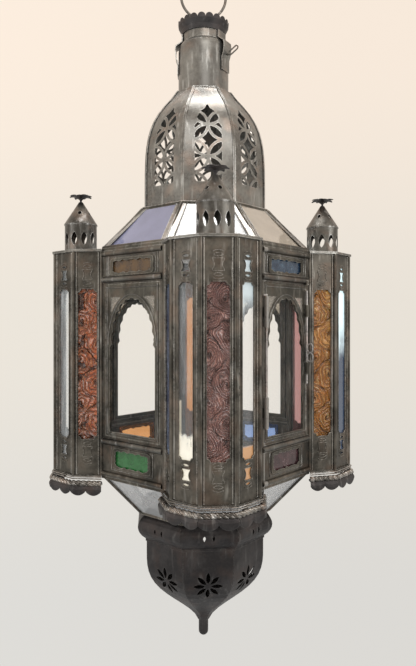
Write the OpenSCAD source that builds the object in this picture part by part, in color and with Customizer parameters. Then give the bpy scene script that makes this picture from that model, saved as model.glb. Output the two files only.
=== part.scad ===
// Hanging fanous lantern of sheet metal and coloured glass, in millimetres.
// Modules draw in the body's frame, with z = 0 at the body's lower edge and the front bay
// towards -Y. The whole is then lowered so that the inside top of the ring is the origin.

/* [Body] */
// Height of the glazed body, rim to rim
body_h = 240; // [225:1:265]
// Thickness of the sheet metal
sheet_t = 1; // [0.8:0.1:1.2]
// Thickness of the glass
glass_t = 2; // [1.6:0.1:2.4]
// Radius of the bead along each vertical corner
bead_r = 2.3; // [1.9:0.1:2.5]

/* [Bays] */
// Distance from the walls' octagon out to a bay's front face
bay_depth = 53.5; // [48.5:1:58.5]
// Half the width of a bay's front face
bay_front_half = 16.3; // [15.5:0.1:18]
// Distance from the walls' octagon out to a bay's shoulders
bay_shoulder_depth = 30.5; // [27.5:1:32.5]
// Half the width across a bay's shoulders
bay_shoulder_half = 41; // [39.5:0.5:42.5]
// Width of a long clear strip
strip_w = 17; // [14:0.5:18.5]
// Width of a long embossed strip
embossed_w = 21; // [18:0.5:22]
// Height of the long strips above the lower edge
strip_z = 38; // [36:0.5:42]
// Space between the long strips and the top edge
strip_top_gap = 40; // [38:0.5:44]
// Width of the small hourglass window
hourglass_w = 10; // [8:0.5:12]
// Height of the small hourglass window
hourglass_h = 10.5; // [8:0.5:11]
// Height of the lower hourglass above the lower edge
hourglass_z = 19.5; // [18.5:0.5:21]

/* [Walls] */
// Width of the window opening in a wall
opening_w = 80.6; // [78:0.2:82]
// Width of the wall beside the window opening
jamb_w = 6.71324; // [6:0.1:8]
// Height of the window opening above the lower edge
opening_z = 43.5; // [43.5:0.5:50]
// Space between the window opening and the top edge
opening_top_gap = 36; // [36:0.5:40]
// Width of the top light
top_light_w = 60; // [50:1:64]
// Height of the top light
top_light_h = 16; // [12:0.5:16.5]
// Space between the top light and the top edge
top_light_gap = 10; // [9:0.5:10.5]
// Width of the bottom light
bottom_light_w = 52; // [44:1:58]
// Height of the bottom light
bottom_light_h = 20; // [16:0.5:21]
// Height of the bottom light above the lower edge
bottom_light_z = 11; // [10:0.5:12]
// Radius of the roll mouldings above and below the window
moulding_r = 3; // [2.4:0.1:3.2]

/* [Windows and door] */
// Depth of a window frame
frame_depth = 3; // [2.6:0.1:3.6]
// Width of a window frame's stiles
stile_w = 6; // [5.6:0.1:6.6]
// Height of a window frame's bottom rail
sill_rail_h = 4; // [3:0.5:6]
// Space between the arch and the top of its frame
arch_top_gap = 15; // [13:0.5:18]
// Rise of the pointed arch above its springing
arch_rise = 48; // [44:1:52]
// Radius of the arch's foils
foil_r = 5.2; // [4.8:0.1:5.6]
// Width of the band round the arch
arch_band_w = 4.5; // [4:0.1:5]
// Gap round the door leaf
door_gap = 0.6; // [0.5:0.1:0.8]

/* [Latch and hinge] */
// Radius of the hinge pin and the slide bolt
wire_r = 1.1; // [0.9:0.05:1.2]
// Radius of the rolled knuckles and guides
roll_r = 2.4; // [2.3:0.1:2.6]
// Length of one rolled knuckle
knuckle_h = 10; // [8:0.5:12]
// Length of a bolt guide
guide_h = 13; // [11:0.5:15]
// Travel of the slide bolt
bolt_travel = 9; // [7:0.5:10]
// Width of the two finger loops on the bolt
loop_w = 8; // [7:0.5:9]
// Length of one finger loop on the bolt
loop_h = 10; // [9.5:0.5:12]

/* [Roof and dome] */
// Height of the roof, from the body to the dome
roof_h = 51; // [46:1:56]
// Distance from the axis to the dome's base
dome_apothem = 66.4; // [64:0.2:69]
// Height of the dome
dome_h = 137; // [132:1:144]
// Radius of the rings pierced in the dome
pierce_r = 17.4; // [16.8:0.1:17.8]
// Width of the pierced bands
pierce_band_w = 3; // [2.6:0.1:3.4]
// Half the width of the pierced column
pierce_half_w = 14.5; // [13:0.5:15.5]
// Height of the pierced column's foot above the dome's base
pierce_z = 22; // [18:1:26]

/* [Neck and crown] */
// Outer radius of the neck
neck_r = 29; // [27.5:0.5:31]
// Height of the neck's straight part
neck_h = 48; // [44:1:54]
// Height of the neck's shoulder
shoulder_h = 11; // [10:0.5:13]
// Outer radius of the spigot above the shoulder
spigot_r = 23; // [21.5:0.5:24.5]
// Height of the cap band
cap_band_h = 9; // [8:0.5:11]
// Height of the crown
crown_h = 15; // [13:0.5:18]
// Outer radius of the crown's lip
crown_r = 29.5; // [28:0.5:31]
// Centreline radius of the hanging ring
ring_r = 26; // [23:0.5:29]
// Radius of the hanging ring's wire
ring_wire_r = 1.5; // [1.3:0.1:1.8]
// Width of the neck strap
strap_w = 16; // [13:0.5:18]

/* [Turrets] */
// Distance from the walls' octagon out to a turret's axis
turret_out = 27.5; // [24.5:0.5:29.5]
// Outer radius of a turret's drum
drum_r = 18; // [16.5:0.5:19]
// Height of a turret's drum
drum_h = 33; // [29:1:37]
// Height of a turret's roof
turret_roof_h = 27; // [23:1:31]
// Radius of a finial's petals
petal_r = 12; // [10:0.5:13]

/* [Lower part] */
// Depth of the sloped glass under the body
lower_h = 48.6; // [45:0.2:53]
// Depth of the collar
collar_h = 27.4; // [25:0.2:30]
// Distance from the axis to the collar's widest line
collar_apothem = 75.2; // [73.5:0.1:77]
// Distance from the axis to the bowl's rim
bowl_apothem = 65.5; // [63.5:0.1:67]
// Depth of the bowl
bowl_h = 104; // [98:1:110]
// Radius of the bowl's tip
tip_r = 5.5; // [5:0.1:6]
// Length of the tip below the bowl
tip_h = 19; // [16:1:23]
// Depth of a bay's skirt
skirt_h = 22; // [20:0.5:25]
// Outward flare of a bay's skirt
skirt_flare = 6; // [5:0.5:7]

/* [Candle] */
// Radius of the candle that the cup takes
candle_r = 11; // [10:0.1:12.5]
// Radial clearance of the candle in its cup
candle_clearance = 0.5; // [0.3:0.1:0.7]
// Depth of the candle cup's bore
cup_h = 20; // [16:1:24]

/* [Hidden] */
$fn = 64;
sides = 8;
side_turn = 360 / sides;
half_turn = side_turn / 2;
bay_turn = 90;
overrun = 5;
seat_gap = 0.1;
seam_gap = 0.15;
running_gap = 0.08;
body_gap = 0.3;
rim_h = 3;
rim_w = 5;
came_r = 2;

metal = [0.30, 0.28, 0.25];
pale_metal = [0.62, 0.62, 0.60];
clear_glass = [0.85, 0.90, 0.92, 0.4];
rose_glass = [0.62, 0.30, 0.32, 0.7];
red_glass = [0.72, 0.28, 0.12, 0.7];
amber_glass = [0.90, 0.55, 0.15, 0.7];
blue_glass = [0.15, 0.30, 0.60, 0.7];
green_glass = [0.10, 0.55, 0.20, 0.7];
purple_glass = [0.35, 0.15, 0.22, 0.7];
orange_glass = [0.95, 0.55, 0.20, 0.7];
sky_glass = [0.45, 0.60, 0.90, 0.7];

// Corner radius and half a side of an octagon from its apothem
function corner_r(apothem) = apothem / cos(half_turn);
function half_side(apothem) = apothem * tan(half_turn);

// The body is as wide as its window openings need, and the bays stand out from it
body_apothem = (opening_w / 2 + jamb_w) / tan(half_turn);
bay_front_r = body_apothem + bay_depth;
bay_shoulder_r = body_apothem + bay_shoulder_depth;
turret_place_r = body_apothem + turret_out;

// Heights of what is stacked on the body
dome_z = body_h + roof_h;
neck_z = dome_z + dome_h;
shoulder_z = neck_z + neck_h;
spigot_z = shoulder_z + shoulder_h;
cap_z = spigot_z + seat_gap;
crown_z = cap_z + cap_band_h + seat_gap;
ring_lift = 4;
ring_z = crown_z + crown_h + ring_lift + ring_wire_r + ring_r;
hang_z = ring_z + ring_r - ring_wire_r;

// Heights of what hangs below the body
collar_z = -lower_h - collar_h;
bowl_z = collar_z - bowl_h;

// Plan of the front bay, left to right as seen from outside, and of the wall to its right
wall_half = half_side(body_apothem);
bay_plan = [
    [-wall_half, -body_apothem], [-bay_shoulder_half, -bay_shoulder_r],
    [-bay_front_half, -bay_front_r], [bay_front_half, -bay_front_r],
    [bay_shoulder_half, -bay_shoulder_r], [wall_half, -body_apothem]];
bay_faces = len(bay_plan) - 1;
wall_plan = [[wall_half, -body_apothem], [body_apothem, -wall_half]];

// Window frames: the leaf fills the opening less its gap
opening_h = body_h - opening_top_gap - opening_z;
window_half = opening_w / 2 - door_gap;
arch_half = window_half - stile_w;
window_z = opening_z + door_gap;
window_top = opening_z + opening_h - door_gap;
arch_top = window_top - arch_top_gap;
springing_z = arch_top - arch_rise;
arch_r = (arch_half * arch_half + arch_rise * arch_rise) / (2 * arch_half);
arch_shift = arch_r - arch_half;
foil_place_r = arch_r - foil_r;
foil_end = acos(arch_shift / foil_place_r);
foil_pitch_share = 1.75;
foils = round(foil_place_r * foil_end * PI / 180 / (foil_pitch_share * foil_r));
top_rail_h = 5.5;
spandrel_in_share = 0.25;

// Hinge and bolt of the door, in the wall's own frame
roll_out = roll_r + body_gap;
hinge_x = -opening_w / 2 + door_gap / 2;
knuckle_gap = 0.4;
hinge_margin = 14;
hinge_h = 3 * knuckle_h + 2 * knuckle_gap;
hinge_z = [window_z + hinge_margin, window_top - hinge_margin - hinge_h];
tab_w = 4;
pin_head = 5;
pin_bend_share = 0.9;
bolt_x = window_half - roll_r - body_gap;
guide_shares = [0.44, 0.83];
guide_z = [for (s = guide_shares) window_z + s * (window_top - window_z) - guide_h / 2];
keeper_h = 5;
keeper_z = opening_z + opening_h + body_gap;
bolt_bite = 3;
bolt_top = keeper_z + bolt_bite - bolt_travel;
bolt_bottom = guide_z[0] - bolt_travel - wire_r;
loop_wire_r = 0.8;

// Neck straps and pin: the pin goes through the first strap
strap_turns = [-37, 175];
strap_h = 46;
strap_bow = 2.2;
strap_z = cap_z + cap_band_h - strap_h;
pin_share = 0.4;
pin_z = strap_z + pin_share * strap_h;
pin_in = 8;
eye_w = 6;
eye_l = 14.5;
eye_lift = 30;

// Unit vector, normal on the right of a line, and a line moved to that side
function unit(v) = v / norm(v);
function right_of(v) = [v.y, -v.x];
function heading(line, i) = unit(line[i + 1] - line[i]);
function normal_at(line, i) =
    i == 0 ? right_of(heading(line, 0))
    : i == len(line) - 1 ? right_of(heading(line, i - 1))
    : let (a = right_of(heading(line, i - 1)), b = right_of(heading(line, i)))
      (a + b) / (1 + a * b);
function moved(line, distance) =
    [for (i = [0:len(line) - 1]) line[i] + distance * normal_at(line, i)];
function backwards(line) = [for (i = [len(line) - 1:-1:0]) line[i]];
function band(line, thickness) = concat(line, backwards(moved(line, -thickness)));

// The bay's plan moved out, with its ends kept on the wall's line
function bay_line(distance) =
    let (m = moved(bay_plan, distance), last = len(m) - 1)
    [for (i = [0:last]) i == 0 || i == last ? [m[i].x, bay_plan[i].y] : m[i]];

module hung() {
    translate([0, 0, -hang_z]) children();
}

// Local x along the segment from its middle, y up, z outward
module on_segment(a, b) {
    d = b - a;
    translate([(a.x + b.x) / 2, (a.y + b.y) / 2, 0]) rotate([90, 0, atan2(d.y, d.x)]) children();
}

module on_wall(k) {
    rotate([0, 0, k * bay_turn]) on_segment(wall_plan[0], wall_plan[1]) children();
}

module on_side(i, distance) {
    rotate([0, 0, i * side_turn]) translate([distance, 0, 0]) rotate([90, 0, 90]) children();
}

module each_bay() {
    for (k = [0:3]) rotate([0, 0, k * bay_turn]) children();
}

module each_turret() {
    each_bay() translate([0, -turret_place_r, body_h]) children();
}

// Local y runs up the slope from foot to head, each [distance from axis, height]
module on_slope(i, foot, head) {
    on_side(i, foot.x) translate([0, foot.y, 0])
        rotate([-atan2(foot.x - head.x, head.y - foot.y), 0, 0]) children();
}

module rod(a, b, r) {
    d = b - a;
    translate(a) rotate([0, acos(d.z / norm(d)), atan2(d.y, d.x)]) cylinder(r = r, h = norm(d));
}

// A roll of wire or sheet standing along local y
module roll(x, y, h, r) {
    translate([x, y, roll_out]) rotate([-90, 0, 0]) cylinder(r = r, h = h);
}

module plate(w, h, t) {
    translate([-w / 2, 0, 0]) cube([w, h, t]);
}

module octagon(apothem) {
    rotate([0, 0, half_turn]) circle(r = corner_r(apothem), $fn = sides);
}

module oct_ring(apothem, width, h) {
    linear_extrude(h) difference() {
        octagon(apothem);
        octagon(apothem - width);
    }
}

// One side of an eight-sided shell, from a profile of [distance from axis, height] going up
module gore(i, profile, t) {
    low = profile[0].y - overrun;
    high = profile[len(profile) - 1].y + overrun;
    reach = body_apothem;
    rotate([0, 0, i * side_turn]) intersection() {
        rotate([90, 0, 0]) translate([0, 0, -reach / 2]) linear_extrude(reach)
            polygon(band(profile, t));
        translate([0, 0, low]) linear_extrude(high - low) polygon([
            [seam_gap / sin(half_turn), 0], [reach, half_side(reach) - seam_gap / cos(half_turn)],
            [reach, seam_gap / cos(half_turn) - half_side(reach)]]);
    }
}

// Closed loop of wire with straight flanks, in the local xy plane
module wire_loop(w, l, r) {
    bend = w / 2 - r;
    straight = l / 2 - w / 2;
    for (s = [0, 1]) mirror([0, s, 0]) translate([0, straight, 0])
        rotate_extrude(angle = 180) translate([bend, 0]) circle(r = r);
    for (x = [-bend, bend]) translate([x, -straight, 0]) rotate([-90, 0, 0])
        cylinder(r = r, h = 2 * straight);
}

// A pointed lens between two arcs
module lens(l, w) {
    r = (l * l + w * w) / (4 * w);
    intersection() {
        translate([r - w / 2, 0]) circle(r = r);
        translate([w / 2 - r, 0]) circle(r = r);
    }
}

// Window with drawn-in corners
module cusped(w, z, h) {
    cusp_r = w / 6;
    difference() {
        translate([-w / 2, z]) square([w, h]);
        for (x = [-w / 2, w / 2], y = [z, z + h]) translate([x, y]) circle(r = cusp_r);
    }
}

// Small window of a clear face: drawn in at both sides, between two narrow slits
waist_in_share = 0.18;
flank_share = 0.42;
slit_share = 0.8;
slit_h = 2.2;
slit_space = 2.6;

module hourglass(z) {
    waist_in = waist_in_share * hourglass_w;
    flank = flank_share * hourglass_h;
    r = (flank * flank + waist_in * waist_in) / (2 * waist_in);
    difference() {
        translate([-hourglass_w / 2, z]) square([hourglass_w, hourglass_h]);
        for (s = [-1, 1])
            translate([s * (hourglass_w / 2 - waist_in + r), z + hourglass_h / 2]) circle(r = r);
    }
    for (y = [z - slit_space - slit_h / 2, z + hourglass_h + slit_space + slit_h / 2])
        translate([0, y]) rotate([0, 0, 90]) lens(slit_share * hourglass_w, slit_h);
}

// Faces 1 and 3 of a bay hold clear strips. The glass of its faces 0, 2 and 4 is given below
// for the front, right, back and left bays.
clear_faces = [1, 3];
ROSE = 1;
RED = 2;
AMBER = 3;
BLUE = 4;
bay_colours = [[BLUE, ROSE, AMBER], [AMBER, BLUE, ROSE], [BLUE, AMBER, ROSE], [AMBER, ROSE, RED]];

function is_clear(i) = len(search(i, clear_faces)) > 0;
function face_window_w(i) = is_clear(i) ? strip_w : embossed_w;

module bay_windows(i) {
    cusped(face_window_w(i), strip_z, body_h - strip_top_gap - strip_z);
    if (is_clear(i)) {
        hourglass(hourglass_z);
        hourglass(body_h - hourglass_z - hourglass_h);
    }
}

module bay_casing(k) {
    color(metal) hung() rotate([0, 0, k * bay_turn]) difference() {
        linear_extrude(body_h) {
            polygon(band(bay_plan, sheet_t));
            for (p = bay_plan) translate(p) circle(r = bead_r);
        }
        for (i = [0:bay_faces - 1]) on_segment(bay_plan[i], bay_plan[i + 1])
            translate([0, 0, -overrun]) linear_extrude(2 * overrun) bay_windows(i);
    }
}

module bay_casing_front() {
    bay_casing(0);
}

module bay_casing_right() {
    bay_casing(1);
}

module bay_casing_back() {
    bay_casing(2);
}

module bay_casing_left() {
    bay_casing(3);
}

// A strip of glass behind face i of a bay
module bay_strip(i) {
    lap = bead_r;
    on_segment(bay_plan[i], bay_plan[i + 1])
        translate([0, seat_gap, -sheet_t - seat_gap - glass_t])
            plate(face_window_w(i) + 2 * lap, body_h - 2 * seat_gap, glass_t);
}

module bay_glass(colour) {
    hung() for (k = [0:3], j = [0:2]) if (bay_colours[k][j] == colour)
        rotate([0, 0, k * bay_turn]) bay_strip(2 * j);
}

module bay_glass_clear() {
    color(clear_glass) hung() each_bay() for (i = clear_faces) bay_strip(i);
}

module bay_glass_rose() {
    color(rose_glass) bay_glass(ROSE);
}

module bay_glass_red() {
    color(red_glass) bay_glass(RED);
}

module bay_glass_amber() {
    color(amber_glass) bay_glass(AMBER);
}

module bay_glass_blue() {
    color(blue_glass) bay_glass(BLUE);
}

// Flat lids close the bays, with a rolled rim round the upper ones
lid_t = 1.2;
lid_rim_h = 2.5;
lid_rim_w = 2;

module bay_tops() {
    color(pale_metal) hung() each_bay() translate([0, 0, body_h + seat_gap]) {
        linear_extrude(lid_t) polygon(bay_line(bead_r));
        linear_extrude(lid_rim_h) polygon(concat(
            bay_line(bead_r + lid_rim_w / 2), backwards(bay_line(bead_r - lid_rim_w / 2))));
    }
}

module bay_floors() {
    color(metal) hung() each_bay() translate([0, 0, -seat_gap - lid_t])
        linear_extrude(lid_t) polygon(bay_line(bead_r));
}

// Skirt of a bay: an upright band, a roll in level steps round it, and petals below
roll_levels = 6;
roll_share = 0.55;
roll_drop_share = 0.42;
petals = 2;
petal_sag = 4.5;
petal_steps = 8;

module bay_band(inner, outer, low, high) {
    translate([0, 0, low]) linear_extrude(high - low)
        polygon(concat(bay_line(outer), backwards(bay_line(inner))));
}

module skirt_roll() {
    r = skirt_flare * roll_share;
    middle = skirt_flare + sheet_t - r;
    z = -skirt_h * roll_drop_share;
    bay_band(middle - 1.5 * sheet_t, middle - sheet_t / 2, z, -lid_t - 3 * seat_gap);
    for (i = [0:roll_levels - 1]) {
        low = 180 * i / roll_levels - 90;
        high = low + 180 / roll_levels;
        half = r * cos((low + high) / 2);
        bay_band(middle - half, middle + half, z + r * sin(low), z + r * sin(high));
    }
}

module skirt_petals() {
    line = bay_line(skirt_flare * (1 - roll_share) + 1.5 * sheet_t);
    top = sheet_t - skirt_h * roll_drop_share;
    for (i = [0:bay_faces - 1]) {
        half = norm(line[i + 1] - line[i]) / petals / 2;
        on_segment(line[i], line[i + 1]) translate([0, 0, -sheet_t]) linear_extrude(sheet_t)
            polygon(concat([[petals * half, top], [-petals * half, top]],
                [for (j = [0:petals * petal_steps])
                    let (x = j * 2 / petal_steps, t = x - 2 * floor(x / 2) - 1)
                    [(x - petals) * half, petal_sag * t * t - skirt_h]]));
    }
}

module bay_skirts() {
    color(pale_metal) hung() each_bay() {
        skirt_roll();
        skirt_petals();
    }
}

// Wall plate with its mouldings. The wall of the door, k = 0, also has knuckles and the keeper.
module moulding(y) {
    half = wall_half - bead_r - seat_gap;
    difference() {
        translate([-half, y, 0]) rotate([0, 90, 0]) cylinder(r = moulding_r, h = 2 * half);
        translate([-half - overrun, y - moulding_r - overrun, -sheet_t / 2 - moulding_r])
            cube([2 * (half + overrun), 2 * (moulding_r + overrun), moulding_r]);
    }
}

module knuckle(y, side) {
    roll(hinge_x, y, knuckle_h, roll_r);
    x = side > 0 ? hinge_x + door_gap / 2 : hinge_x - door_gap / 2 - tab_w;
    translate([x, y, -sheet_t / 2]) cube([tab_w, knuckle_h, 1.5 * sheet_t]);
}

module knuckle_bores() {
    for (z = hinge_z) roll(hinge_x, z - overrun, hinge_h + 2 * overrun, wire_r + running_gap);
}

module wall_sheet() {
    edge = wall_half - bead_r - seat_gap / 2;
    translate([0, 0, -sheet_t]) linear_extrude(sheet_t) difference() {
        translate([-edge, 0]) square([2 * edge, body_h]);
        translate([-opening_w / 2, opening_z]) square([opening_w, opening_h]);
        translate([-top_light_w / 2, body_h - top_light_gap - top_light_h])
            square([top_light_w, top_light_h]);
        translate([-bottom_light_w / 2, bottom_light_z]) square([bottom_light_w, bottom_light_h]);
    }
    moulding((opening_z + opening_h + body_h - top_light_gap - top_light_h) / 2);
    moulding((opening_z + bottom_light_z + bottom_light_h) / 2);
}

module wall_fixed(k) {
    color(metal) hung() on_wall(k) wall_sheet();
}

module wall_front_right() {
    color(metal) hung() on_wall(0) difference() {
        union() {
            wall_sheet();
            for (z = hinge_z, j = [0, 2]) knuckle(z + j * (knuckle_h + knuckle_gap), -1);
            roll(bolt_x, keeper_z, keeper_h, roll_r);
            translate([bolt_x - roll_r, keeper_z, -sheet_t / 2]) cube([2 * roll_r, keeper_h, 1.5 * sheet_t]);
        }
        knuckle_bores();
        roll(bolt_x, keeper_z - overrun, keeper_h + overrun, wire_r + body_gap);
    }
}

module wall_back_right() {
    wall_fixed(1);
}

module wall_back_left() {
    wall_fixed(2);
}

module wall_front_left() {
    wall_fixed(3);
}

// Small lights behind the walls' openings
module top_light(k) {
    lap = moulding_r / 2;
    low = body_h - top_light_gap - top_light_h - lap;
    hung() on_wall(k) translate([0, low, -sheet_t - seat_gap - glass_t])
        plate(top_light_w + 2 * lap, top_light_h + 2 * lap, glass_t);
}

module bottom_light(k) {
    lap = moulding_r;
    hung() on_wall(k) translate([0, bottom_light_z - lap, -sheet_t - seat_gap - glass_t])
        plate(bottom_light_w + 2 * lap, bottom_light_h + 2 * lap, glass_t);
}

module top_lights_amber() {
    color(amber_glass) for (k = [3, 1]) top_light(k);
}

module top_lights_blue() {
    color(blue_glass) for (k = [0, 2]) top_light(k);
}

module bottom_light_green() {
    color(green_glass) bottom_light(3);
}

module bottom_light_purple() {
    color(purple_glass) bottom_light(0);
}

module bottom_light_orange() {
    color(orange_glass) bottom_light(2);
}

module bottom_light_sky() {
    color(sky_glass) bottom_light(1);
}

// Multifoil opening of a window, then the frame round it with its two spandrels
module arch_opening() {
    foot = window_z + sill_rail_h;
    translate([-arch_half, foot]) square([2 * arch_half, springing_z - foot]);
    intersection() {
        translate([-arch_half, springing_z - foil_r]) square([2 * arch_half, arch_rise + foil_r]);
        translate([-arch_shift, springing_z]) circle(r = foil_place_r);
        translate([arch_shift, springing_z]) circle(r = foil_place_r);
    }
    for (s = [-1, 1], i = [0:foils - 1]) {
        a = foil_end * (i + 0.5) / foils;
        translate([s * (foil_place_r * cos(a) - arch_shift), springing_z + foil_place_r * sin(a)])
            circle(r = foil_r);
    }
}

module spandrels() {
    inner = arch_half * spandrel_in_share;
    for (s = [0, 1]) mirror([s, 0]) difference() {
        translate([inner, springing_z]) square([arch_half - inner, window_top - top_rail_h - springing_z]);
        translate([-arch_shift, springing_z]) circle(r = arch_r + arch_band_w);
    }
}

module frame_sheet(gap) {
    translate([0, 0, -frame_depth]) linear_extrude(frame_depth) difference() {
        translate([-opening_w / 2 + gap, opening_z + gap])
            square([opening_w - 2 * gap, opening_h - 2 * gap]);
        arch_opening();
        spandrels();
    }
}

module window_frame(k) {
    color(metal) hung() on_wall(k) frame_sheet(seat_gap);
}

module window_frame_front_left() {
    window_frame(3);
}

module window_frame_back_left() {
    window_frame(2);
}

module window_frame_back_right() {
    window_frame(1);
}

module pane() {
    lap = stile_w / 2;
    translate([0, window_z + lap / 2, -frame_depth - seat_gap - glass_t])
        plate(2 * (arch_half + lap), window_top - window_z - lap, glass_t);
}

module window_panes() {
    color(clear_glass) hung() for (k = [1, 2, 3]) on_wall(k) pane();
}

module door_frame() {
    color(metal) hung() on_wall(0) difference() {
        union() {
            frame_sheet(door_gap);
            for (z = hinge_z) knuckle(z + knuckle_h + knuckle_gap, 1);
        }
        knuckle_bores();
    }
}

module door_pane() {
    color(clear_glass) hung() on_wall(0) pane();
}

module hinge_pin() {
    low = hinge_z[0] - wire_r;
    high = hinge_z[1] + hinge_h + 2 * wire_r + seat_gap;
    color(pale_metal) hung() on_wall(0) {
        roll(hinge_x, low, high - low, wire_r);
        translate([hinge_x - pin_head, high - wire_r, roll_out]) rotate([0, 90, 0])
            cylinder(r = wire_r * pin_bend_share, h = pin_head);
    }
}

module bolt_guides() {
    w = window_half - arch_half - 2 * body_gap;
    color(metal) hung() on_wall(0) for (z = guide_z) difference() {
        union() {
            roll(bolt_x, z, guide_h, roll_r);
            translate([window_half - body_gap - w, z, seat_gap]) cube([w, guide_h, sheet_t]);
        }
        roll(bolt_x, z - overrun, guide_h + 2 * overrun, wire_r + running_gap);
    }
}

module door_bolt() {
    color(pale_metal) hung() on_wall(0) {
        roll(bolt_x, bolt_bottom, bolt_top - bolt_bottom, wire_r);
        for (j = [0, 1])
            translate([bolt_x, guide_z[0] + guide_h + body_gap + (j + 0.5) * loop_h, roll_out + loop_w / 2])
                rotate([0, 90, 0]) wire_loop(loop_w, loop_h + loop_wire_r, loop_wire_r);
    }
}

function slope_at(low, high, z) = [low.x + (high.x - low.x) * (z - low.y) / (high.y - low.y), z];

// Sloped frames: two eight-sided rims joined by a came up each hip
module hips(low, high) {
    foot = slope_at(low, high, low.y + came_r);
    head = slope_at(low, high, high.y - came_r);
    for (i = [0:sides - 1]) rotate([0, 0, (i + 0.5) * side_turn])
        rod([corner_r(foot.x), 0, foot.y], [corner_r(head.x), 0, head.y], came_r);
}

// Pane on a slope, between the rims and clear of the hips
module slope_pane(i, low, high) {
    drop = glass_t * sin(atan2(low.x - high.x, high.y - low.y));
    foot = slope_at(low, high, low.y + rim_h + seat_gap + max(0, drop));
    head = slope_at(low, high, high.y - rim_h - seat_gap + min(0, drop));
    edge = (came_r + seat_gap) / cos(half_turn);
    on_slope(i, foot, head) translate([0, 0, -glass_t]) linear_extrude(glass_t) polygon([
        [edge - half_side(foot.x), 0], [half_side(foot.x) - edge, 0],
        [half_side(head.x) - edge, norm(head - foot)], [edge - half_side(head.x), norm(head - foot)]]);
}

roof_low = [body_apothem - came_r, body_h + seat_gap];
roof_high = [dome_apothem + came_r, dome_z - seat_gap];

module roof_frame() {
    color(metal) hung() {
        translate([0, 0, roof_low.y]) oct_ring(body_apothem - seat_gap, rim_w, rim_h);
        translate([0, 0, roof_high.y - rim_h]) oct_ring(roof_high.x + came_r, rim_w + came_r, rim_h);
        hips(roof_low, roof_high);
    }
}

module roof_panes(which) {
    hung() for (i = which) slope_pane(i, roof_low, roof_high);
}

module roof_glass_clear() {
    color(clear_glass) roof_panes([0, 2, 4, 6]);
}

module roof_glass_blue() {
    color(blue_glass) roof_panes([1, 5]);
}

module roof_glass_amber() {
    color(amber_glass) roof_panes([3, 7]);
}

lower_low = [bowl_apothem + 2 * came_r, -lower_h];
lower_high = [body_apothem - came_r, -seat_gap];

module lower_frame() {
    color(metal) hung() {
        translate([0, 0, -seat_gap - rim_h]) oct_ring(body_apothem - seat_gap, rim_w, rim_h);
        translate([0, 0, lower_low.y]) oct_ring(lower_low.x + came_r, rim_w + came_r, rim_h);
        hips(lower_low, lower_high);
    }
}

module lower_panes() {
    color(clear_glass) hung() for (i = [0:sides - 1]) slope_pane(i, lower_low, lower_high);
}

// Dome: its profile narrows to the neck, and each gore is pierced by a column of linked rings
dome_fall = 4.83;
dome_ease = 1.43;
dome_steps = 14;
dome_top = neck_r + seat_gap + sheet_t;

function dome_at(u) = [
    dome_top + (dome_apothem - dome_top) * pow(1 - pow(u, dome_fall), dome_ease), dome_z + u * dome_h];

dome_profile = [for (i = [0:dome_steps]) dome_at(i / dome_steps)];
pierce_pitch = 2 * pierce_r + seat_gap * 2;
pierce_rows = 3;
column_foot = dome_z + pierce_z;
first_share = 0.55;
tip_shares = [[1, 0.9], [0.72, 1.2], [0.8, 1.5], [0.5, 1.95], [0.2, 2.15], [0, 2.5]];

module pierced_column() {
    first = column_foot + first_share * pierce_r;
    top = first + (pierce_rows - 2) * pierce_pitch;
    difference() {
        polygon(concat(
            [[-pierce_half_w, column_foot], [pierce_half_w, column_foot]],
            [for (s = tip_shares) [s.x * pierce_half_w, top + s.y * pierce_r]],
            [for (i = [len(tip_shares) - 2:-1:0])
                [-tip_shares[i].x * pierce_half_w, top + tip_shares[i].y * pierce_r]]));
        for (k = [0:pierce_rows - 1]) translate([0, first + k * pierce_pitch]) pierced_ring();
        for (k = [-1:pierce_rows - 2], s = [-1, 1])
            translate([s * pierce_pitch / 2, first + (k + 0.5) * pierce_pitch]) pierced_ring();
    }
}

module pierced_ring() {
    difference() {
        circle(r = pierce_r + pierce_band_w / 2);
        circle(r = pierce_r - pierce_band_w / 2);
    }
}

module dome_gores() {
    color(pale_metal) hung() for (i = [0:sides - 1]) difference() {
        gore(i, dome_profile, sheet_t);
        on_side(i, dome_top - overrun) linear_extrude(dome_apothem) pierced_column();
    }
}

seam_w = 3;
seam_t = 0.8;

module dome_seams() {
    line = [for (p = dome_profile) [corner_r(p.x) + seat_gap + seam_t, p.y]];
    color(metal) hung() for (i = [0:sides - 1]) rotate([90, 0, (i + 0.5) * side_turn])
        translate([0, 0, -seam_w / 2]) linear_extrude(seam_w) polygon(band(line, seam_t));
}

// Neck: straight tube, rounded shoulder and the spigot that the cap band sits on
shoulder_steps = 8;
neck_drop = 3;

module neck_tube() {
    shoulder = [for (i = [0:shoulder_steps]) let (a = 90 * i / shoulder_steps)
        [spigot_r + (neck_r - spigot_r) * cos(a), shoulder_z + shoulder_h * sin(a)]];
    line = concat([[neck_r, neck_z - neck_drop]], shoulder, [[spigot_r, spigot_z + cap_band_h]]);
    color(metal) hung() difference() {
        rotate_extrude() polygon(band(line, sheet_t));
        strap_hole(wire_r + running_gap);
    }
}

module strap_hole(r) {
    rotate([0, 0, strap_turns[0]]) translate([spigot_r / 2, 0, pin_z]) rotate([0, 90, 0])
        cylinder(r = r, h = neck_r);
}

module cap_band() {
    color(pale_metal) hung() translate([0, 0, cap_z]) difference() {
        cylinder(r = spigot_r + seat_gap + sheet_t, h = cap_band_h);
        translate([0, 0, -overrun]) cylinder(r = spigot_r + seat_gap, h = cap_band_h + 2 * overrun);
    }
}

// Distances from the neck as shares of the bow, and heights as shares of the strap
strap_shares = [[0, 0], [0, 0.3], [1, 0.45], [1.3, 0.6], [1, 0.72]];

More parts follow.
